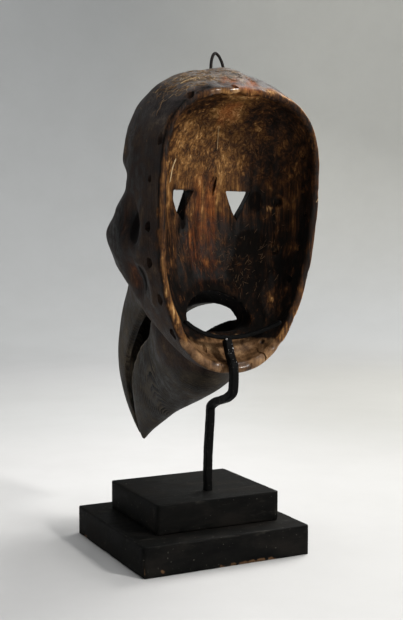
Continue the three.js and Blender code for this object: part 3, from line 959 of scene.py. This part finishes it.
def carvedWood():
    wood = Nodes("carvedWood")
    shade = wood.mask("shade")
    fibre = wood.noise(620, 5, 0.7, wood.stretch((1, 1, 0.06)))
    streak = wood.noise(170, 4, 0.65, wood.stretch((1, 1, 0.05)))
    tangle = wood.noise(140, 6, 0.66, wood.stretch((1, 1, 0.7)), bend=2.6)
    blotch = wood.noise(70, 5, 0.65)
    fuzz = wood.noise(1000, 4, 0.75)

    # bare wood: upright grain, or tangled fibres where it is fuzzy, and fine pale strokes
    along = wood.plus(wood.times(streak, 0.5), wood.times(fibre, 0.5))
    rough = wood.plus(wood.times(tangle, 0.6), wood.times(fuzz, 0.15), wood.times(along, 0.25))
    fuzzy = wood.between(wood.mask("fuzzy"), 0, 1)
    grain = wood.plus(wood.times(wood.calculate("SUBTRACT", 1.0, fuzzy), along), wood.times(fuzzy, rough))
    strokes = []
    for scale, turn in ((420, (0.35, 0.3, 0)), (360, (-0.2, -0.55, 0))):
        where = wood.stretch((1, 1, 0.1), turn=turn)
        strokes.append(wood.between(wood.noise(scale, 3, 0.55, where, bend=0.6), 0.57, 0.68))
    hair = wood.times(wood.calculate("MAXIMUM", *strokes), wood.between(wood.noise(50, 3), 0.4, 0.62))
    tint = wood.plus(shade, wood.swing(grain, look["grainContrast"]),
                     wood.swing(blotch, look["blotchContrast"]),
                     wood.times(wood.times(hair, wood.mask("bare")), look["hairPale"]))

    # the outer skin, with growth rings where the wood was cut across them
    where = wood.stretch((1, 1, 0.16), offset=look["logAxis"])
    contour = wood.between(wood.rings(look["ringPeriod"], where, 3.5), 0.1, 0.95)
    ringed = wood.times(wood.mask("ringed"), wood.between(wood.noise(38, 3), 0.36, 0.56))
    ring = wood.times(contour, ringed)
    skinTint = wood.plus(shade, wood.swing(blotch, look["skinContrast"]), wood.swing(fuzz, 0.6),
                         wood.times(ring, -look["ringDark"]), wood.swing(fibre, 0.5))

    def spread(name):
        # a mask broken up by the noise, so that no edge is a clean line
        return wood.between(wood.plus(wood.mask(name), wood.swing(blotch, 0.9)), 0.25, 0.75)

    worn = wood.plus(wood.times(blotch, 0.6), wood.times(streak, 0.4))
    colour = wood.ramp(skinTint, look["domeTones"])
    coats = [(spread("beak"), skinTint, "hornTones"),
             (spread("crown"), tangle, "crownTones"),
             (wood.times(wood.mask("cold"), 0.45), skinTint, "coldTones"),
             (spread("bare"), tint, "bareTones"),
             (wood.between(wood.mask("red"), 0.1, 0.9, 0, 0.9), tint, "redTones"),
             (wood.times(spread("polish"), 0.85), worn, "polishTones")]
    for share, value, tones in coats:
        colour = wood.mix(share, colour, wood.ramp(value, look[tones]))
    colour = wood.mix(wood.mask("pit"), colour, look["pitTone"])

    relief = wood.bump(wood.plus(wood.times(grain, 0.8), wood.times(fuzz, 0.4)), 0.0009, 0.8)
    relief = wood.bump(ring, 0.0003, 0.6, relief)
    polish = wood.mask("polish")
    dull = wood.calculate("SUBTRACT", wood.between(blotch, 0.35, 0.65, 0.5, 0.8), wood.times(polish, 0.2))
    dull = wood.calculate("MAXIMUM", dull, wood.between(shade, 0, 0.12, 1, 0))
    others = {"Specular IOR Level": 0.14, "Coat Roughness": 0.2}
    others["Coat Weight"] = wood.plus(wood.times(polish, 0.12), wood.mask("shine"))
    return wood.finish(colour, dull, relief, others)


maskPiece = makeMask()
finishPiece(maskPiece, carvedWood(), "mask", sharp=50)
print("mask carved:", len(maskPiece.data.polygons), "faces")


# Loose straw and raised fibres that lie on the wood

straw = {
    # middle, spread, count, length, way and paleness of each field of fibres
    "fields": [((40, 20, 129), (50, 22, 6), 260, 8, (1, 0.2, 0), 0.75),
               ((68, 40, 106), (12, 24, 12), 10, 7, (0.4, 0.2, -1), 0.5),
               ((12, 50, 74), (46, 24, 36), 260, 5, (0.3, 0, -1), 0.5),
               ((-28, 46, -32), (22, 24, 34), 60, 6, (0.3, 0, -1), 0.2),
               ((8, 58, -4), (40, 20, 60), 200, 5, (-0.1, 0, -1), 0.24),
               ((-58, 34, 0), (8, 20, 60), 50, 5, (0.5, 0, -1), 0.3)],
    "steps": 7,
    "scatter": 0.5,
    "radius": (0.09, 0.2),
    "lift": 0.6,
    "curl": 0.12,
    # points, radius and paleness of each splinter
    "splinters": [([(39.5, 50.3, 61.1), (42.8, 50.1, 50.5), (45, 49.2, 39.1)], 0.62, 0.95),
                  ([(1.9, 43.9, 91.4), (-0.4, 49.8, 81.3), (-2.3, 54.3, 70.9)], 0.34, 0.7),
                  ([(52.2, 22.5, 121.6), (47, 22.1, 124.5), (42.2, 20.6, 126.5), (37.7, 20.4, 127.8),
                    (37.1, 15.7, 125.8)], 0.5, 0.8),
                  ([(-74, -1.7, 29), (-76.5, -1.7, 33)], 0.4, 0.8)],
    "tones": [(0.0, 70, 48, 30), (0.5, 134, 102, 66), (1.0, 206, 180, 138)],
}


def strandMesh(name, lines):
    # each line is (points in metres, radius in millimetres, paleness)
    sides = 5
    points, faces, tints = [], [], []
    for path, radius, tint in lines:
        rings = sweep(np.array(path) / mm, (0.37, 0.61, 0.7), roundOutline(radius, sides), ends=2.0) * mm
        start = len(tints)
        points.append(rings.reshape(-1, 3))
        tints += [tint] * (len(rings) * sides)
        faces += [tuple(start + k for k in face) for face in ringFaces(len(rings), sides)]
    piece = faceOutward(newPiece(name, np.vstack(points), faces))
    setMask(piece.data, "tint", np.array(tints))
    return piece


def makeStraw(body):
    surface = surfaceOf(body)
    steps = straw["steps"]
    lines = []
    for middle, spread, count, length, way, pale in straw["fields"]:
        for _ in range(count):
            p = fromMask(np.array(middle) + np.array(spread) * rng.normal(0, 0.5, 3))
            heading = fromMask(np.array(way)) - fromMask(np.zeros(3))
            heading = heading / np.linalg.norm(heading) + rng.normal(0, straw["scatter"], 3)
            turn = rng.normal(0, straw["curl"])
            long = length * rng.uniform(0.5, 1.3)
            path = []
            for k in range(steps):
                spot, normal = nearest(surface, p)
                lift = straw["lift"] * rng.uniform(0.2, 1) * math.sin(math.pi * k / (steps - 1)) + 0.05
                path.append(spot + normal * lift * mm)
                heading = heading - normal * (heading @ normal)
                heading = heading / max(np.linalg.norm(heading), 1e-6)
                heading = heading + np.cross(normal, heading) * turn
                p = spot + heading / np.linalg.norm(heading) * long / steps * mm
            lines.append((path, rng.uniform(*straw["radius"]), pale * rng.uniform(0.1, 1)))
    for points, radius, tint in straw["splinters"]:
        path = []
        for p in fromMask(smoothLine(points, 12)):
            spot, normal = nearest(surface, p)
            path.append(spot + normal * radius * 0.6 * mm)
        lines.append((path, radius, tint))
    return strandMesh("straw", lines)


def paleStraw():
    dry = Nodes("paleStraw")
    colour = dry.ramp(dry.plus(dry.mask("tint"), dry.swing(dry.noise(700, 3), 0.6)), straw["tones"])
    return dry.finish(colour, 0.6, dry.bump(dry.noise(2400, 2), 0.0001, 0.5), {"Specular IOR Level": 0.25})


# Iron: rod, cradle arm and their weld

iron = {
    "rodSide": 7,
    "rodCorner": 1.3,
    "rodPath": [(-8.4, 20.5, 37.85), (-8.4, 20.5, 80), (-9.4, 23.5, 123), (-9.4, 24.5, 131), (-9.4, 32.5, 136),
                (-5, 65.8, 145.5), (-5, 74.3, 151), (-5, 76.3, 160), (-5, 76.3, 170), (-5, 75.2, 174.5),
                (-5, 71, 180), (-5, 67.2, 187.5), (-5, 64, 195.2)],
    "rodSteps": 190,
    "armHeight": 5,
    "armThick": 3.6,
    "armCorner": 1.2,
    "armHalfSpan": 47.2,
    "armEnd": (72.5, 212),
    "armLift": 1.7,
    "armMiddle": (-7.2, 61, 197),
    "armSteps": 110,
    "armEnds": 2.2,
    # depth and size of the hammer marks
    "rodHammered": (0.16, 6),
    "armHammered": (0.12, 5),
}


def barOutline(width, height, corner, steps=5):
    points = []
    for k in range(4):
        middle = (width / 2 - corner) * (1, -1, -1, 1)[k], (height / 2 - corner) * (1, 1, -1, -1)[k]
        for a in np.linspace(k * math.pi / 2, (k + 1) * math.pi / 2, steps):
            points.append((middle[0] + corner * math.cos(a), middle[1] + corner * math.sin(a)))
    return np.array(points)


def roundOutline(radius, count):
    angle = np.linspace(0, 2 * math.pi, count, endpoint=False)
    return radius * np.column_stack([np.cos(angle), np.sin(angle)])


def sweep(path, first, outline, ends=0.0):
    # rings of an outline along a path, whose ends are rounded over the length in ends;
    # first is the way that the outline's first axis points
    tangent = unit(np.gradient(path, axis=0))
    first = np.array(first, float)
    a = unit(first - tangent * (tangent @ first)[:, None])
    b = np.cross(tangent, a)
    size = np.ones(len(path))
    if ends:
        along = lengthAlong(path)
        fromEnd = np.minimum(along, along[-1] - along)
        size = np.sqrt(np.clip(1 - (1 - np.clip(fromEnd / ends, 0, 1)) ** 2, 0.02, 1))
    size = size[:, None, None]
    return path[:, None, :] + size * (outline[None, :, 0:1] * a[:, None] + outline[None, :, 1:2] * b[:, None])


def hammer(piece, depth, size, seed):
    # uneven skin, as from a hammer or a draw plate
    mesh = piece.data
    p = readPoints(mesh)
    push = depth * (grainNoise(p / mm, size, seed) + 0.4 * grainNoise(p / mm, size / 3, seed + 1))
    writePoints(mesh, p + readPoints(mesh, "normal") * (push * mm)[:, None])
    return piece


def makeRod():
    path = smoothLine(iron["rodPath"], iron["rodSteps"])
    outline = barOutline(iron["rodSide"], iron["rodSide"], iron["rodCorner"])
    rod = skin("rod", sweep(path, (1, 0, 0), outline) * mm)
    return hammer(rod, *iron["rodHammered"], 21)


def makeArm():
    s = np.linspace(-1, 1, 9)
    middle, end = iron["armMiddle"], iron["armEnd"]
    points = np.column_stack([middle[0] + iron["armHalfSpan"] * s, middle[1] + (end[0] - middle[1]) * s * s,
                              middle[2] + (end[1] - middle[2]) * s * s + iron["armLift"] * s])
    outline = barOutline(iron["armHeight"], iron["armThick"], iron["armCorner"])
    path = smoothLine(points, iron["armSteps"])
    arm = skin("cradleArm", sweep(path, (0, 1, 0), outline, ends=iron["armEnds"]) * mm)
    return hammer(arm, *iron["armHammered"], 23)


def blackIron():
    metal = Nodes("blackIron")
    fine = metal.noise(1400, 4, 0.65)
    patch = metal.noise(160, 4, 0.6)
    colour = metal.ramp(patch, [(0.35, 6, 6, 6), (0.65, 14, 14, 14)])
    dust = metal.between(metal.noise(420, 3, 0.5), 0.64, 0.72)
    colour = metal.mix(metal.times(dust, 0.4), colour, tone(88, 84, 78))
    rough = metal.between(patch, 0.35, 0.65, 0.5, 0.72)
    return metal.finish(colour, rough, metal.bump(fine, 0.0003, 0.5), {"Specular IOR Level": 0.05})


weld = {
    "beads": [((-2.4, 70, 197.1), 1.1), ((-7.2, 70, 188.3), 0.75), ((-7.2, 70, 185.7), 0.65)],
    "spatter": 8,
    "spatterBox": ((-8, -1), 82, (172, 197)),
    "spatterRadius": (0.18, 0.34),
    "flat": 0.6,
}


def makeWeld(rod):
    # small beads of bright metal, half sunk in the rod
    surface = surfaceOf(rod)
    beads = list(weld["beads"])
    sides, behind, heights = weld["spatterBox"]
    for _ in range(weld["spatter"]):
        z = rng.uniform(*heights)
        beads.append(((rng.uniform(*sides), behind, z), rng.uniform(*weld["spatterRadius"])))
    angle = np.linspace(0, 2 * math.pi, 8, endpoint=False)
    tilts = np.radians([-70, -30, 0, 30, 60, 82])
    points, faces = [], []
    for place, radius in beads:
        spot, normal = nearest(surface, Vector(place) * mm)
        a = np.cross(normal, (0.3, 0.5, 0.8))
        a /= np.linalg.norm(a)
        b = np.cross(normal, a)
        start = len(points)
        for tilt in tilts:
            for t in angle:
                way = normal * math.sin(tilt) * weld["flat"]
                way = way + (a * math.cos(t) + b * math.sin(t)) * math.cos(tilt)
                points.append(spot + way * radius * mm)
        faces += [tuple(start + k for k in face) for face in ringFaces(len(tilts), len(angle))]
    return faceOutward(newPiece("weldBeads", points, faces))


def bareSteel():
    metal = Nodes("bareSteel")
    patch = metal.noise(900, 3)
    colour = metal.ramp(patch, [(0.4, 96, 94, 92), (0.6, 176, 174, 172)])
    return metal.finish(colour, 0.35, metal.bump(patch, 0.0001, 0.5), {"Metallic": 0.5})


finishPiece(makeStraw(maskPiece), paleStraw())
print("straw laid")

ironMaterial = blackIron()
rodPiece = makeRod()
finishPiece(rodPiece, ironMaterial, "support_bar")
finishPiece(makeWeld(rodPiece), bareSteel())
finishPiece(makeArm(), ironMaterial, "cradle_arm")
print("rod and arm forged")


# Hanging wire: a hairpin in two holes of the crown

wire = {
    "radius": 1.4,
    "spread": 13.1,
    "rise": 15.5,
    "depth": 8,
    "foot": (-16.6, 23, 432),
    "lean": 1.9,
    "steps": 90,
    "hammered": (0.06, 3),
}


def makeWire():
    angle = np.linspace(0, math.pi, 9)
    half = wire["spread"] / 2 * (1 - 0.25 * np.sin(angle))
    x, y, z = wire["foot"]
    across = x - half * np.cos(angle) + wire["lean"] * np.sin(angle)
    points = np.column_stack([across, np.full(9, y), z + wire["rise"] * np.sin(angle) ** 0.8])
    down = np.array([0, 0, wire["depth"]])
    points = np.vstack([points[0] - down, points, points[-1] - down])
    path = smoothLine(points, wire["steps"])
    loop = skin("hangingWire", sweep(path, (0, 1, 0), roundOutline(wire["radius"], 16)) * mm)
    return hammer(loop, *wire["hammered"], 25)


def darkWire():
    metal = Nodes("darkWire")
    patch = metal.noise(500, 4, 0.6)
    colour = metal.ramp(patch, [(0.35, 14, 12, 11), (0.7, 40, 32, 27)])
    rough = metal.between(patch, 0.3, 0.7, 0.34, 0.62)
    relief = metal.bump(patch, 0.0002, 0.5)
    return metal.finish(colour, rough, relief, {"Metallic": 0.2, "Specular IOR Level": 0.2})


finishPiece(makeWire(), darkWire(), "hanging_wire")


# Blocks: sawn wood under matte black paint

blocks = {
    "lower": {"size": (162, 158, 27), "corner": 3.2, "bevel": 1.4, "middle": (0, 0, 13.5),
              "node": "lower_block"},
    "upper": {"size": (121, 108, 26.5), "corner": 3, "bevel": 1.4, "middle": (-4, -1, 40.6),
              "node": "upper_block"},
    "spacing": 2.6,
    "wear": 0.55,
    # place and radius of each chip
    "chips": [(79.8, 79, 5.9, 4), (63.4, 79, 5.2, 4), (81, 1.5, 23.9, 3), (-4, 79, 0.5, 6), (-14, 79, 0.3, 7),
              (-23, 79, 0.5, 8), (-32, 79, 0.6, 8), (-42, 79, 0.3, 6), (8, 79, 0, 5), (81, -60, 0.5, 6),
              (-81, -20, 0.5, 5), (-60, -79, 27, 4), (56.5, 30, 53.8, 3)],
    "chipDepth": 0.9,
    "nailHole": (-29.7, 9.9, 53.8, 1.3),
    "nailDepth": 1.2,
}


def gridLine(half, radius, spacing):
    # places of the grid lines on one axis, closer where the edge turns
    edge = half - radius
    count = max(2, int(2 * edge / spacing))
    inner = np.linspace(-edge, edge, count)
    bend = half - radius * (1 - np.array([0.4, 0.75, 1.0]))
    return np.concatenate([-bend[::-1], inner, bend])


def boxGrid(lines):
    # points and faces on the six sides of a box
    index, points, faces = {}, [], []

    def corner(i, j, k):
        if (i, j, k) not in index:
            index[(i, j, k)] = len(points)
            points.append((lines[0][i], lines[1][j], lines[2][k]))
        return index[(i, j, k)]

    for axis in range(3):
        u, v = (axis + 1) % 3, (axis + 2) % 3
        for end in (0, len(lines[axis]) - 1):
            for a in range(len(lines[u]) - 1):
                for b in range(len(lines[v]) - 1):
                    face = []
                    for da, db in ((0, 0), (1, 0), (1, 1), (0, 1)):
                        at = [0, 0, 0]
                        at[axis], at[u], at[v] = end, a + da, b + db
                        face.append(corner(*at))
                    faces.append(face if end else face[::-1])
    return np.array(points), faces


def roundEdges(p, half, bevel, turned):
    # the new points, the way out at each, and which of them lie on an edge
    core = np.clip(p, -(half - bevel), half - bevel)
    out = p - core
    out /= np.maximum(np.linalg.norm(out, axis=1), 1e-9)[:, None]
    p = core + out * bevel
    # the upright corners are sanded rounder than the other edges
    beyond = np.maximum(np.abs(p[:, :2]) - (half[:2] - turned), 0)
    reach = np.linalg.norm(beyond, axis=1)
    both = (beyond > 1e-6).all(axis=1)
    pull = np.where(both, np.minimum(1, turned / np.maximum(reach, 1e-9)), 1)
    p[:, :2] = np.sign(p[:, :2]) * (np.minimum(np.abs(p[:, :2]), half[:2] - turned) + beyond * pull[:, None])
    return p, out, (np.abs(out) > 0.2).sum(1) > 1


def wearAndChips(p, edge):
    # how deep the wear goes at each point, and how much of it is a chip
    worn = blocks["wear"] * edge * ease(grainNoise(p, (9, 9, 4), 33), -0.1, 0.9)
    chipped = np.zeros(len(p))
    for x, y, z, r in blocks["chips"]:
        near = 1 - ease(np.linalg.norm((p - (x, y, z)) * (1, 1, 1.6), axis=1) / r, 0.2, 1)
        near = near * ease(grainNoise(p, 2.4, 34) + near, 0.1, 0.8)
        worn = worn + blocks["chipDepth"] * near
        chipped = np.maximum(chipped, near)
    x, y, z, r = blocks["nailHole"]
    hole = 1 - ease(np.linalg.norm(p - (x, y, z), axis=1) / r, 0.3, 1)
    return worn + hole * blocks["nailDepth"], chipped


def makeBlock(name):
    part = blocks[name]
    half = np.array(part["size"]) / 2
    p, faces = boxGrid([gridLine(h, part["bevel"], blocks["spacing"]) for h in half])
    p, out, edge = roundEdges(p, half, part["bevel"], part["corner"])
    p = p + np.array(part["middle"])
    worn, chipped = wearAndChips(p, edge)
    ripple = 0.1 * grainNoise(p, 14, 31) + 0.05 * grainNoise(p, 4, 32)
    flat = np.where(np.abs(out[:, 2]) > 0.9, 0.3, 1.0)
    p = p - out * (worn - ripple * flat)[:, None]
    if name == "lower":
        p[:, 2] = np.where(out[:, 2] < -0.99, 0, np.maximum(p[:, 2], 0))
    block = faceOutward(newPiece(name + "Block", p * mm, faces))
    setMask(block.data, "bare", chipped + 0.35 * edge * ease(worn, 0.25, 0.5))
    return block


def blackPaint():
    paint = Nodes("blackPaint")
    grain = paint.noise(260, 4, 0.6, paint.stretch((0.08, 1, 1)))
    fine = paint.noise(1300, 3, 0.6)
    patch = paint.noise(30, 6, 0.68, paint.stretch((0.5, 1, 1.4)))
    colour = paint.ramp(patch, [(0.36, 10, 10, 10), (0.5, 17, 17, 16), (0.64, 28, 26, 24)])
    dust = paint.between(paint.noise(420, 2, 0.5), 0.7, 0.76)
    colour = paint.mix(paint.times(dust, 0.5), colour, tone(110, 106, 98))
    scuff = paint.between(paint.noise(90, 5, 0.7, paint.stretch((0.3, 1, 1), turn=(0, 0, 0.5))), 0.58, 0.7)
    colour = paint.mix(paint.times(scuff, 0.12), colour, tone(96, 92, 84))
    bare = paint.ramp(grain, [(0.3, 58, 42, 30), (0.7, 112, 84, 60)])
    colour = paint.mix(paint.between(paint.mask("bare"), 0.3, 0.7), colour, bare)
    rough = paint.between(patch, 0.3, 0.7, 0.5, 0.72)
    height = paint.plus(paint.times(grain, 0.7), paint.times(fine, 0.4))
    return paint.finish(colour, rough, paint.bump(height, 0.0004, 0.5), {"Specular IOR Level": 0.03})


paintMaterial = blackPaint()
for name in ("lower", "upper"):
    finishPiece(makeBlock(name), paintMaterial, blocks[name]["node"])
print("blocks painted")


# Floor, backdrop and light

studio = {
    # metres
    "floorRadius": 1.5,
    "curve": 0.9,
    "height": 3.0,
    "turns": 72,
    # paper tones from under the object to the top of the round wall, darker up the wall as painted shade
    "paperShadeTones": [(0.0, 200, 200, 200), (0.09, 200, 200, 200), (0.15, 196, 196, 196),
                   (0.22, 188, 189, 189), (0.32, 182, 183, 183), (0.46, 182, 183, 184),
                   (0.58, 184, 186, 187), (1.0, 172, 174, 175)],
    # painted light high on the wall and painted shade beside the object
    "paintedLightPaper": tone(200, 200, 195),
    "paintedShadePaper": tone(166, 166, 163),
    "scuffedPaper": tone(120, 118, 114),
    # millimetres: the point that the lamps aim at
    "aim": (-5, 20, 250),
    # each lamp's way is right, up and towards the camera, and its distance and size are in metres
    "key": {"way": (0.46, 0.68, -0.56), "far": 1.8, "size": 1.2, "power": 36, "colour": (1, 0.98, 0.95)},
    "top": {"way": (0.15, 1.0, -0.1), "far": 2.3, "size": 2.2, "power": 37, "colour": (1, 1, 1)},
    "fill": {"way": (0.78, 0.46, 0.55), "far": 1.8, "size": 0.28, "power": 22, "colour": (1, 0.98, 0.95)},
    "world": (0.97, 0.98, 1.0, 0.09),
}


def sweepProfile():
    # distance from the middle and height, from the floor's middle to the top of the wall
    flat, bend = studio["floorRadius"], studio["curve"]
    profile = [(r, 0) for r in np.linspace(0.02, flat, 14)]
    for a in np.linspace(0, math.pi / 2, 24)[1:]:
        profile.append((flat + bend * math.sin(a), bend * (1 - math.cos(a))))
    profile.append((flat + bend, studio["height"]))
    return np.array(profile)


def paperMasks(mesh, profile, ring, points):
    # how far up the sweep each point is, and where painted light and painted shade lie on the paper beside the
    # object
    share = lengthAlong(profile) / (studio["floorRadius"] + studio["curve"] * math.pi / 2)
    right = np.array(cameraAxes()[0])
    aside = ease(ring @ right, -0.16, 0.16) * (1 - ease(ring @ right, 0.5, 0.9))
    across = ease(points @ right, -0.1, 0.25) * (1 - ease(points @ right, 0.7, 1.2))
    fade = (1 - ease(share, 0.4, 0.66)) * (0.4 + 0.6 * ease(share, 0.1, 0.28))
    setMask(mesh, "along", np.repeat(share, len(ring)))
    setMask(mesh, "bright", np.outer(ease(share, 0.58, 0.9), aside).ravel())
    setMask(mesh, "dim", across * np.repeat(fade, len(ring)))


def greyPaper():
    paper = Nodes("paper")
    # painted shade: the paper darkens up the round wall
    colour = paper.ramp(paper.mask("along"), studio["paperShadeTones"])
    # painted light high on the wall, painted shade beside the object
    colour = paper.mix(paper.mask("bright"), colour, studio["paintedLightPaper"])
    colour = paper.mix(paper.mask("dim"), colour, studio["paintedShadePaper"])
    scuffs = paper.between(paper.noise(9, 6, 0.7), 0.35, 0.7, 0, 0.05)
    colour = paper.mix(scuffs, colour, studio["scuffedPaper"])
    relief = paper.bump(paper.noise(300, 3), 0.0002, 0.1)
    return paper.finish(colour, 0.8, relief, {"Specular IOR Level": 0.2})


def makeBackdrop():
    # a round sweep of paper with the object in its middle
    profile = sweepProfile()
    count = studio["turns"]
    ring = np.column_stack([roundOutline(1, count), np.zeros(count)])
    points = np.concatenate([ring * r + (0, 0, z) for r, z in profile])
    faces = [face[::-1] for face in ringFaces(len(profile), count, capped=False)]
    floor = newPiece("backdrop", points, faces + [tuple(range(count))])
    floor.data.shade_smooth()
    paperMasks(floor.data, profile, ring, points)
    floor.data.materials.append(greyPaper())


def makeLight(name):
    light = studio[name]
    right, up, back = cameraAxes()
    way = right * light["way"][0] + Vector((0, 0, 1)) * light["way"][1] + back * light["way"][2]
    way = way.normalized()
    data = bpy.data.lights.new(name, "AREA")
    data.shape = "DISK"
    data.size = light["size"]
    data.energy = light["power"]
    data.color = light["colour"]
    lamp = bpy.data.objects.new(name, data)
    lamp.location = Vector(studio["aim"]) * mm + way * light["far"]
    lamp.rotation_euler = (-way).to_track_quat("-Z", "Y").to_euler()
    bpy.context.scene.collection.objects.link(lamp)


makeBackdrop()
for name in ("key", "top", "fill"):
    makeLight(name)
world = bpy.data.worlds.new("studio")
world.use_nodes = True
sky = world.node_tree.nodes["Background"]
sky.inputs["Color"].default_value = (*studio["world"][:3], 1)
sky.inputs["Strength"].default_value = studio["world"][3]
bpy.context.scene.world = world
bpy.context.scene.view_settings.view_transform = "Standard"
print("studio lit")
